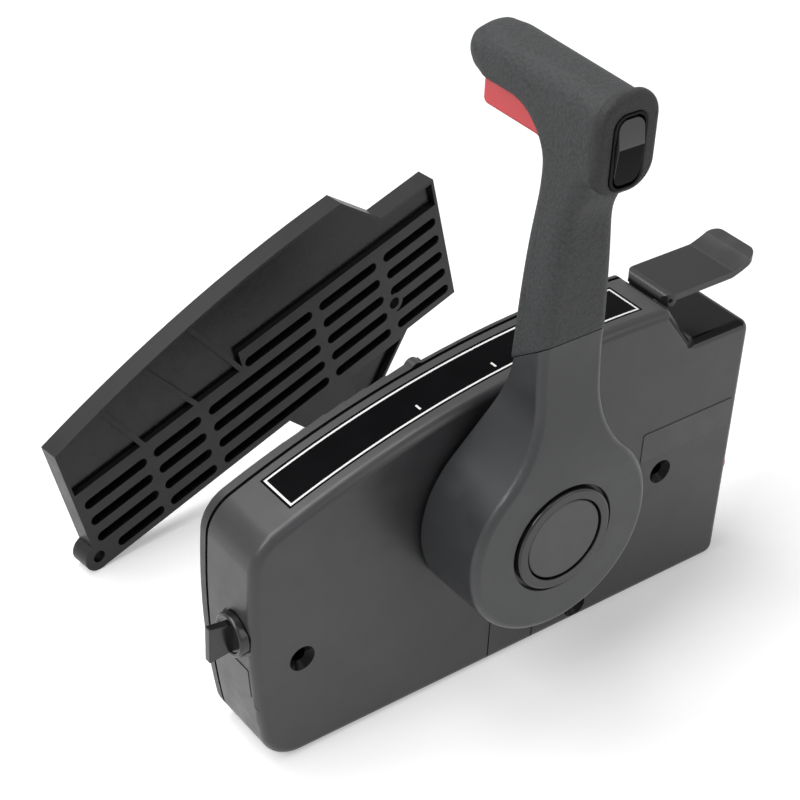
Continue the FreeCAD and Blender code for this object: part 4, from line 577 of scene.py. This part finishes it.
def below_ridge(centre: Vector, normal: Vector) -> bool:
    """Picks the rocker's lower facet, which gets painted shade."""
    return normal.z < -RIDGE_LEAN


def node_bmesh(node: str, flat: float) -> bmesh.types.BMesh:
    """Copies a node's mesh with its seams closed and its flat stretches joined.

    Args:
        node: the node's name.
        flat: the angle in degrees below which neighbouring facets are joined.

    Returns:
        The copy, which the caller frees.
    """
    bm = bmesh.new()
    bm.from_mesh(frame["nodes"][node].data)
    bmesh.ops.remove_doubles(bm, verts=bm.verts, dist=0.002 * MM)
    bmesh.ops.dissolve_limit(bm, angle_limit=math.radians(flat), verts=bm.verts, edges=bm.edges)
    bmesh.ops.recalc_face_normals(bm, faces=bm.faces)
    return bm


def piece_from(bm: bmesh.types.BMesh, name: str) -> bpy.types.Object:
    """Turns a bmesh into an object with a clean smooth-shaded mesh, and frees the bmesh.

    Args:
        bm: the shape.
        name: the object's name.

    Returns:
        The object, linked to the scene.
    """
    bm.verts.index_update()
    mesh = bpy.data.meshes.new(name)
    mesh.from_pydata([v.co[:] for v in bm.verts], [], [[v.index for v in f.verts] for f in bm.faces])
    bm.free()
    mesh.polygons.foreach_set("use_smooth", [True] * len(mesh.polygons))
    obj = bpy.data.objects.new(name, mesh)
    bpy.context.scene.collection.objects.link(obj)
    return obj


def settle(obj: bpy.types.Object) -> None:
    """Turns an object's modifiers into plain mesh."""
    graph = bpy.context.evaluated_depsgraph_get()
    graph.update()
    mesh = bpy.data.meshes.new_from_object(obj.evaluated_get(graph))
    obj.modifiers.clear()
    obj.data = mesh


def stand_in(obj: bpy.types.Object, node: str) -> None:
    """Lets a piece ride with a node's body, in the node's place."""
    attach(obj, frame["nodes"][node]["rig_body"])
    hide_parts(node)


@dataclass(frozen=True)
class BrokenEdges:
    """A moulded piece whose hard edges are broken, as a tool leaves them."""

    node: str
    width: float = 0.4 * MM
    segments: int = 3
    sharp: float = 30.0
    flat: float = 0.6
    # Faces that a test picks, with the painted shade they get.
    shade_faces: tuple[Finish, Picker] | None = None

    def build(self, paints: Paints) -> bpy.types.Object:
        """Makes the piece.

        Args:
            paints: where its finish comes from.

        Returns:
            The finished object.
        """
        obj = piece_from(node_bmesh(self.node, self.flat), self.node + "_moulded")
        paints.paint(obj, NODE_FINISH[self.node])
        # Painted shade on the faces the test picks.
        if self.shade_faces is not None:
            paints.pick(obj, *self.shade_faces)
        bevel = obj.modifiers.new("broken edges", "BEVEL")
        bevel.limit_method = "ANGLE"
        bevel.angle_limit = math.radians(self.sharp)
        bevel.width = self.width
        bevel.segments = self.segments
        bevel.miter_outer = "MITER_ARC"
        normals = obj.modifiers.new("even shading", "WEIGHTED_NORMAL")
        normals.mode = "FACE_AREA_WITH_ANGLE"
        settle(obj)
        stand_in(obj, self.node)
        return obj


@dataclass(frozen=True)
class SoftSkin:
    """A soft-touch piece, evened out over all its rounds."""

    node: str
    grid: float = 0.6 * MM
    passes: int = 6
    end_y: float | None = None
    end_passes: int = 60
    end_half: float = 14.4 * MM
    end_low_z: float = 194.6 * MM
    end_reach: float = 4 * MM
    end_lead: float = 3 * MM

    def build(self, paints: Paints) -> bpy.types.Object:
        """Makes the piece.

        Args:
            paints: where its finish comes from.

        Returns:
            The finished object.
        """
        obj = piece_from(node_bmesh(self.node, 0.05), self.node + "_skin")
        remesh = obj.modifiers.new("even grid", "REMESH")
        remesh.mode = "VOXEL"
        remesh.voxel_size = self.grid
        remesh.use_smooth_shade = True
        smooth = obj.modifiers.new("soft rounds", "SMOOTH")
        smooth.factor = 0.5
        smooth.iterations = self.passes
        settle(obj)
        if self.end_y is not None:
            self.dome_end(obj)
            group = obj.vertex_groups.new(name="far end")
            start = self.end_y + self.end_lead
            group.add([v.index for v in obj.data.vertices if v.co.y > start], 1.0, "REPLACE")
            soften = obj.modifiers.new("soften the end", "SMOOTH")
            soften.factor = 0.5
            soften.iterations = self.end_passes
            soften.vertex_group = group.name
            settle(obj)
        paints.paint(obj, NODE_FINISH[self.node])
        stand_in(obj, self.node)
        return obj

    def dome_end(self, obj: bpy.types.Object) -> None:
        """Turns the section past end_y from a rounded box into an ellipse by degrees."""
        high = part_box(self.node)[1]
        middle_z = (self.end_low_z + high.z) / 2
        half = Vector((self.end_half, 0.0, (high.z - self.end_low_z) / 2))
        for vertex in obj.data.vertices:
            share = (vertex.co.y - self.end_y) / (high.y - self.end_reach - self.end_y)
            if share <= 0:
                continue
            share = min(1.0, share)
            share = share * share * (3 - 2 * share)
            u = vertex.co.x / half.x
            v = (vertex.co.z - middle_z) / half.z
            square = (abs(u) ** 4 + abs(v) ** 4) ** 0.25
            scale = 1 - share + share * square / max(math.hypot(u, v), 1e-6)
            vertex.co.x *= scale
            vertex.co.z = middle_z + (vertex.co.z - middle_z) * scale


MOULDINGS: tuple[BrokenEdges | SoftSkin, ...] = (
    # The housing's countersinks and the shelf under the paddle get painted shade.
    BrokenEdges("front_housing", 0.35 * MM, shade_faces=(Finish.SINK_SHELF_BEZEL_SHADE, sunk_or_shelf)),
    BrokenEdges("back_cover", 0.35 * MM),
    # The plate's pocket floors and the paddle's flat part get painted shade.
    BrokenEdges("spacer_plate", 0.9 * MM, shade_faces=(Finish.POCKET_AND_FLAT_SHADE, in_pocket)),
    BrokenEdges("fast_idle_lever", 0.9 * MM, shade_faces=(Finish.POCKET_AND_FLAT_SHADE, on_flat)),
    BrokenEdges("lever_hub", 0.4 * MM),
    BrokenEdges("hub_ring", 0.3 * MM),
    BrokenEdges("throttle_only_button", 0.3 * MM),
    BrokenEdges("rocker_bezel", 0.3 * MM),
    # The rocker's lower facet gets painted shade.
    BrokenEdges("trim_rocker", 0.6 * MM, shade_faces=(Finish.SHADE, below_ridge)),
    BrokenEdges("neutral_lock_trigger", 0.8 * MM),
    BrokenEdges("arc_label", 0.1 * MM, 2),
    BrokenEdges("side_label", 0.08 * MM, 2),
    BrokenEdges("end_label", 0.08 * MM, 2),
    SoftSkin("lever_grip", end_y=-24.0 * MM),
    SoftSkin("grip_end_cap", 0.35 * MM, 4),
)


@dataclass
class ButtonBellows:
    """The folded return bellows behind the hub's button."""

    paints: Paints
    node: str = "button_spring"
    joint: str = "throttle_only_push"
    travel: float = 4.0 * MM

    def build(self) -> None:
        """Makes the bellows from its node's own shape."""
        obj = piece_from(node_bmesh(self.node, 0.05), "button_bellows")
        self.paints.paint(obj, NODE_FINISH[self.node])
        stand_in(obj, self.node)
        low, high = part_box(self.node)
        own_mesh(obj)
        log.info("button bellows")


@dataclass
class FrictionKnob:
    """The knob on the box's end: a rimmed disc with a sunk face and a fin across it."""

    paints: Paints
    node: str = "friction_knob"
    disc_thick: float = 4.6 * MM
    fin_thick: float = 4.4 * MM
    fin_high: float = 18.5 * MM
    fin_taper: float = 0.86
    root_share: float = 0.8
    root_depth: float = 0.7
    tip_gap: float = 1.4 * MM
    edge: float = 0.6 * MM
    sharp: float = 50.0
    steps: int = 64

    def build(self) -> None:
        """Makes the knob inside its node's box."""
        low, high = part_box(self.node)
        centre = (low + high) / 2
        radius = (high.z - low.z) / 2
        bm = bmesh.new()
        profile = (
            (0.0, 0.0), (0.97, 0.0), (1.0, 0.1), (1.0, 0.72), (0.975, 0.9), (0.93, 0.985), (0.87, 1.0),
            (0.81, 0.97), (0.78, 0.92), (0.76, 0.84), (0.73, 0.80), (0.0, 0.78),
        )
        rings = []
        for share, deep in profile:
            x = high.x - deep * self.disc_thick
            rings.append(self.ring(bm, x, centre, share * radius))
        for inner, outer in zip(rings, rings[1:]):
            for i in range(self.steps):
                self.quad(bm, inner, outer, i)
        self.fin(bm, low.x + self.tip_gap, high.x - self.root_depth * self.disc_thick, centre)
        bmesh.ops.remove_doubles(bm, verts=bm.verts, dist=0.001 * MM)
        bmesh.ops.recalc_face_normals(bm, faces=bm.faces)
        obj = piece_from(bm, "friction_knob_turned")
        bevel = obj.modifiers.new("broken edges", "BEVEL")
        bevel.limit_method = "ANGLE"
        bevel.angle_limit = math.radians(self.sharp)
        bevel.width = self.edge
        bevel.segments = 3
        obj.modifiers.new("even shading", "WEIGHTED_NORMAL")
        settle(obj)
        self.paints.paint(obj, Finish.KNOB_GLOSS)
        stand_in(obj, self.node)

    def ring(
        self, bm: bmesh.types.BMesh, x: float, centre: Vector, radius: float,
    ) -> list[bmesh.types.BMVert]:
        """Adds one ring of the disc.

        Args:
            bm: the shape so far.
            x: where along the knob's axis the ring lies.
            centre: the knob's centre.
            radius: the ring's radius.

        Returns:
            Its vertices, or a single one where the radius is nothing.
        """
        y, z = centre.y, centre.z
        if radius == 0:
            return [bm.verts.new((x, y, z))]
        turns = [2 * math.pi * i / self.steps for i in range(self.steps)]
        return [bm.verts.new((x, y + radius * math.cos(t), z + radius * math.sin(t))) for t in turns]

    def quad(self, bm: bmesh.types.BMesh, inner: list, outer: list, i: int) -> None:
        """Adds the face between two neighbouring rings at one step.

        Args:
            bm: the shape so far.
            inner: the first ring's vertices.
            outer: the next ring's vertices.
            i: the step round the rings.
        """
        j = (i + 1) % self.steps
        if len(inner) == 1:
            bm.faces.new((inner[0], outer[i], outer[j]))
        elif len(outer) == 1:
            bm.faces.new((inner[i], outer[0], inner[j]))
        else:
            bm.faces.new((inner[i], outer[i], outer[j], inner[j]))

    def fin(self, bm: bmesh.types.BMesh, tip_x: float, root_x: float, centre: Vector) -> None:
        """Adds the fin, which is thinner and taller at its tip.

        Args:
            bm: the shape so far.
            tip_x: where the fin ends.
            root_x: where it meets the disc.
            centre: the knob's centre.
        """
        corners = []
        for x, thick, high in ((root_x, 1.0, self.root_share), (tip_x, self.fin_taper, 1.0)):
            half_y = self.fin_thick / 2 * thick
            half_z = self.fin_high / 2 * high
            signs = ((-1, -1), (1, -1), (1, 1), (-1, 1))
            spots = [(x, centre.y + i * half_y, centre.z + j * half_z) for i, j in signs]
            corners.append([bm.verts.new(spot) for spot in spots])
        root, tip = corners
        bm.faces.new(root)
        bm.faces.new(tip[::-1])
        for i in range(4):
            j = (i + 1) % 4
            bm.faces.new((root[i], tip[i], tip[j], root[j]))


@dataclass
class LabelMarks:
    """Three bare lever-position marks that follow the arc label's crown, made by a node tree."""

    paints: Paints
    label: str = "arc_label"
    marks: int = 3
    spread: float = 80 * MM
    crown_x: float = 60 * MM
    crown_radius: float = 470 * MM
    row_y: float = -27 * MM
    size: Point = (1.0 * MM, 3.4 * MM, 0.12 * MM)

    def build(self) -> None:
        """Makes the marks as one plain mesh on the label's body."""
        obj = piece_from(bmesh.new(), "label_marks")
        modifier = obj.modifiers.new("marks", "NODES")
        modifier.node_group = self.tree()
        width, length, thickness = self.size
        values = {
            "Marks": self.marks, "Spread": self.spread, "Row Y": self.row_y,
            "Crown X": self.crown_x, "Crown Z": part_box(self.label)[1].z, "Crown Radius": self.crown_radius,
            "Width": width, "Length": length, "Thickness": thickness, "Ink": self.paints.get(Finish.INK),
        }
        for item in modifier.node_group.interface.items_tree:
            if item.in_out == "INPUT":
                modifier[item.identifier] = values[item.name]
        settle(obj)
        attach(obj, frame["nodes"][self.label]["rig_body"])
        log.info("label marks")

    def tree(self) -> bpy.types.NodeTree:
        """Builds the node tree.

        Returns:
            The tree, with a named input for each size.
        """
        tree = bpy.data.node_groups.new("label marks", "GeometryNodeTree")
        tree.interface.new_socket("Marks", in_out="INPUT", socket_type="NodeSocketInt")
        for name in ("Spread", "Crown X", "Crown Z", "Crown Radius", "Row Y", "Width", "Length", "Thickness"):
            tree.interface.new_socket(name, in_out="INPUT", socket_type="NodeSocketFloat")
        tree.interface.new_socket("Ink", in_out="INPUT", socket_type="NodeSocketMaterial")
        tree.interface.new_socket("Geometry", in_out="OUTPUT", socket_type="NodeSocketGeometry")
        given = tree.nodes.new("NodeGroupInput").outputs
        result = tree.nodes.new("NodeGroupOutput")

        def node(kind: str, links: dict, **settings: str) -> bpy.types.Node:
            """Adds a node.

            Args:
                kind: its full type name.
                links: socket name or number to a constant or an output socket.
                settings: properties set on it.

            Returns:
                The new node.
            """
            made = tree.nodes.new(kind)
            for name, value in settings.items():
                setattr(made, name, value)
            for key, value in links.items():
                if isinstance(value, bpy.types.NodeSocket):
                    tree.links.new(value, made.inputs[key])
                else:
                    made.inputs[key].default_value = value
            return made

        def maths(operation: str, first: object, second: object = 0.0) -> bpy.types.NodeSocket:
            """Adds a Math node and returns its result."""
            return node("ShaderNodeMath", {0: first, 1: second}, operation=operation).outputs[0]

        start = maths("MULTIPLY", given["Spread"], -0.5)
        step = maths("DIVIDE", given["Spread"], maths("SUBTRACT", given["Marks"], 1.0))
        line = node("GeometryNodeMeshLine", {
            "Count": given["Marks"],
            "Start Location": node("ShaderNodeCombineXYZ", {"X": start}).outputs[0],
            "Offset": node("ShaderNodeCombineXYZ", {"X": step}).outputs[0],
        })
        position = node("GeometryNodeInputPosition", {}).outputs[0]
        place = node("ShaderNodeSeparateXYZ", {0: position}).outputs["X"]
        from_crown = maths("SUBTRACT", place, given["Crown X"])
        lean = maths("ARCSINE", maths("DIVIDE", from_crown, given["Crown Radius"]))
        drop = maths("MULTIPLY", maths("SUBTRACT", maths("COSINE", lean), 1.0), given["Crown Radius"])
        height = maths("ADD", given["Crown Z"], drop)
        spot = node("ShaderNodeCombineXYZ", {"X": place, "Y": given["Row Y"], "Z": height})
        turn = node("ShaderNodeCombineXYZ", {"Y": lean}).outputs[0]
        kept = node("GeometryNodeCaptureAttribute", {"Geometry": line.outputs[0]})
        kept.capture_items.new("VECTOR", "turn")
        tree.links.new(turn, kept.inputs["turn"])
        points = node("GeometryNodeSetPosition", {
            "Geometry": kept.outputs["Geometry"], "Position": spot.outputs[0],
        })
        size = node("ShaderNodeCombineXYZ", {
            "X": given["Width"], "Y": given["Length"], "Z": given["Thickness"],
        })
        bar = node("GeometryNodeMeshCube", {"Size": size.outputs[0]})
        bars = node("GeometryNodeInstanceOnPoints", {
            "Points": points.outputs[0], "Instance": bar.outputs["Mesh"], "Rotation": kept.outputs["turn"],
        })
        real = node("GeometryNodeRealizeInstances", {"Geometry": bars.outputs[0]})
        inked = node("GeometryNodeSetMaterial", {"Geometry": real.outputs[0], "Material": given["Ink"]})
        tree.links.new(inked.outputs[0], result.inputs[0])
        return tree


# ---- surroundings


@dataclass
class Studio:
    """Pale floor, soft lamps and a white surround."""

    floor_reach: float = 6.0
    floor_colour: Colour = (0.90, 0.90, 0.90)
    floor_glow: float = 0.4
    ambient: float = 0.15

    def build(self) -> None:
        """Makes the floor, the lamps and the world."""
        self.floor()
        self.world()
        target = Vector((0.0, 0.0, 0.05))
        self.lamp("top lamp", Vector((-0.5, 0.6, 2.0)), target, 1.4, 30.0)
        self.lamp("left lamp", Vector((-1.5, -0.2, 1.5)), target, 1.0, 21.0)
        self.lamp("front lamp", Vector((0.9, -1.8, 1.1)), target, 1.4, 8.0)

    def floor(self) -> None:
        """Makes the floor at the object's lowest point."""
        z = CAD_BOX[0].z
        r = self.floor_reach
        mesh = bpy.data.meshes.new("floor")
        corners = [(-r, -r, z), (r, -r, z), (r, r, z), (-r, r, z)]
        mesh.from_pydata(corners, [], [(0, 1, 2, 3)])
        obj = bpy.data.objects.new("floor", mesh)
        bpy.context.scene.collection.objects.link(obj)
        g = Graph("floor paint")
        worn = tuple(c * 0.995 for c in self.floor_colour)
        shade = g.blend(g.noise(0.9, 2.0), self.floor_colour, worn)
        obj.data.materials.append(g.surface(
            Base_Color=shade, Roughness=0.9, Specular_IOR_Level=0.1,
            Emission_Color=shade, Emission_Strength=self.floor_glow,
        ))

    def lamp(self, name: str, place: Vector, target: Vector, size: float, power: float) -> None:
        """Hangs one square area lamp.

        Args:
            name: its name.
            place: where it hangs.
            target: what it points at.
            size: its side.
            power: its power in watts.
        """
        data = bpy.data.lights.new(name, "AREA")
        data.energy = power
        data.size = size
        obj = bpy.data.objects.new(name, data)
        obj.location = place
        obj.rotation_euler = (target - place).to_track_quat("-Z", "Y").to_euler()
        bpy.context.scene.collection.objects.link(obj)

    def world(self) -> None:
        """Makes a world that lights gently and shows white."""
        world = bpy.data.worlds.new("surround")
        world.use_nodes = True
        tree = world.node_tree
        tree.nodes.clear()
        output = tree.nodes.new("ShaderNodeOutputWorld")
        rays = tree.nodes.new("ShaderNodeLightPath")
        shown = None
        for ray in ("Is Camera Ray", "Is Glossy Ray", "Is Transmission Ray"):
            total = tree.nodes.new("ShaderNodeMath")
            total.operation = "ADD"
            total.use_clamp = True
            tree.links.new(rays.outputs[ray], total.inputs[0])
            total.inputs[1].default_value = 0.0
            if shown is not None:
                tree.links.new(shown.outputs[0], total.inputs[1])
            shown = total
        light = tree.nodes.new("ShaderNodeBackground")
        light.inputs["Strength"].default_value = self.ambient
        white = tree.nodes.new("ShaderNodeBackground")
        white.inputs["Strength"].default_value = 1.0
        for background in (light, white):
            background.inputs["Color"].default_value = (1.0, 1.0, 1.0, 1.0)
        mix = tree.nodes.new("ShaderNodeMixShader")
        tree.links.new(shown.outputs[0], mix.inputs[0])
        tree.links.new(light.outputs[0], mix.inputs[1])
        tree.links.new(white.outputs[0], mix.inputs[2])
        tree.links.new(mix.outputs[0], output.inputs["Surface"])
        bpy.context.scene.world = world


@dataclass
class Viewpoint:
    """The camera, solved from the photograph's straight edges."""

    place: Point = (-0.4701, -0.5629, 0.5376)
    azimuth: float = 38.10
    elevation: float = 35.06
    roll: float = 2.85
    lens: float = 90.0

    def build(self) -> None:
        """Makes the camera and hands it to the scene."""
        data = bpy.data.cameras.new("photo camera")
        data.lens = self.lens
        data.sensor_width = 36.0
        data.sensor_fit = "HORIZONTAL"
        data.clip_start = 0.01
        obj = bpy.data.objects.new("photo camera", data)
        turn = Matrix.Rotation(math.radians(-self.azimuth), 4, "Z")
        tilt = Matrix.Rotation(math.radians(90.0 - self.elevation), 4, "X")
        lean = Matrix.Rotation(math.radians(self.roll), 4, "Z")
        obj.matrix_world = Matrix.Translation(self.place) @ turn @ tilt @ lean
        bpy.context.scene.collection.objects.link(obj)
        bpy.context.scene.camera = obj


def main() -> None:
    """Builds everything in order."""
    logging.basicConfig(level=logging.INFO)
    bpy.context.scene.view_settings.view_transform = "Standard"
    Viewpoint().build()
    paints = Paints()
    Nodes(paints).dress()
    for moulding in MOULDINGS:
        moulding.build(paints)
        log.info("moulded %s", moulding.node)
    ButtonBellows(paints).build()
    FrictionKnob(paints).build()
    LabelMarks(paints).build()
    Studio().build()


if __name__ == "__main__":
    main()
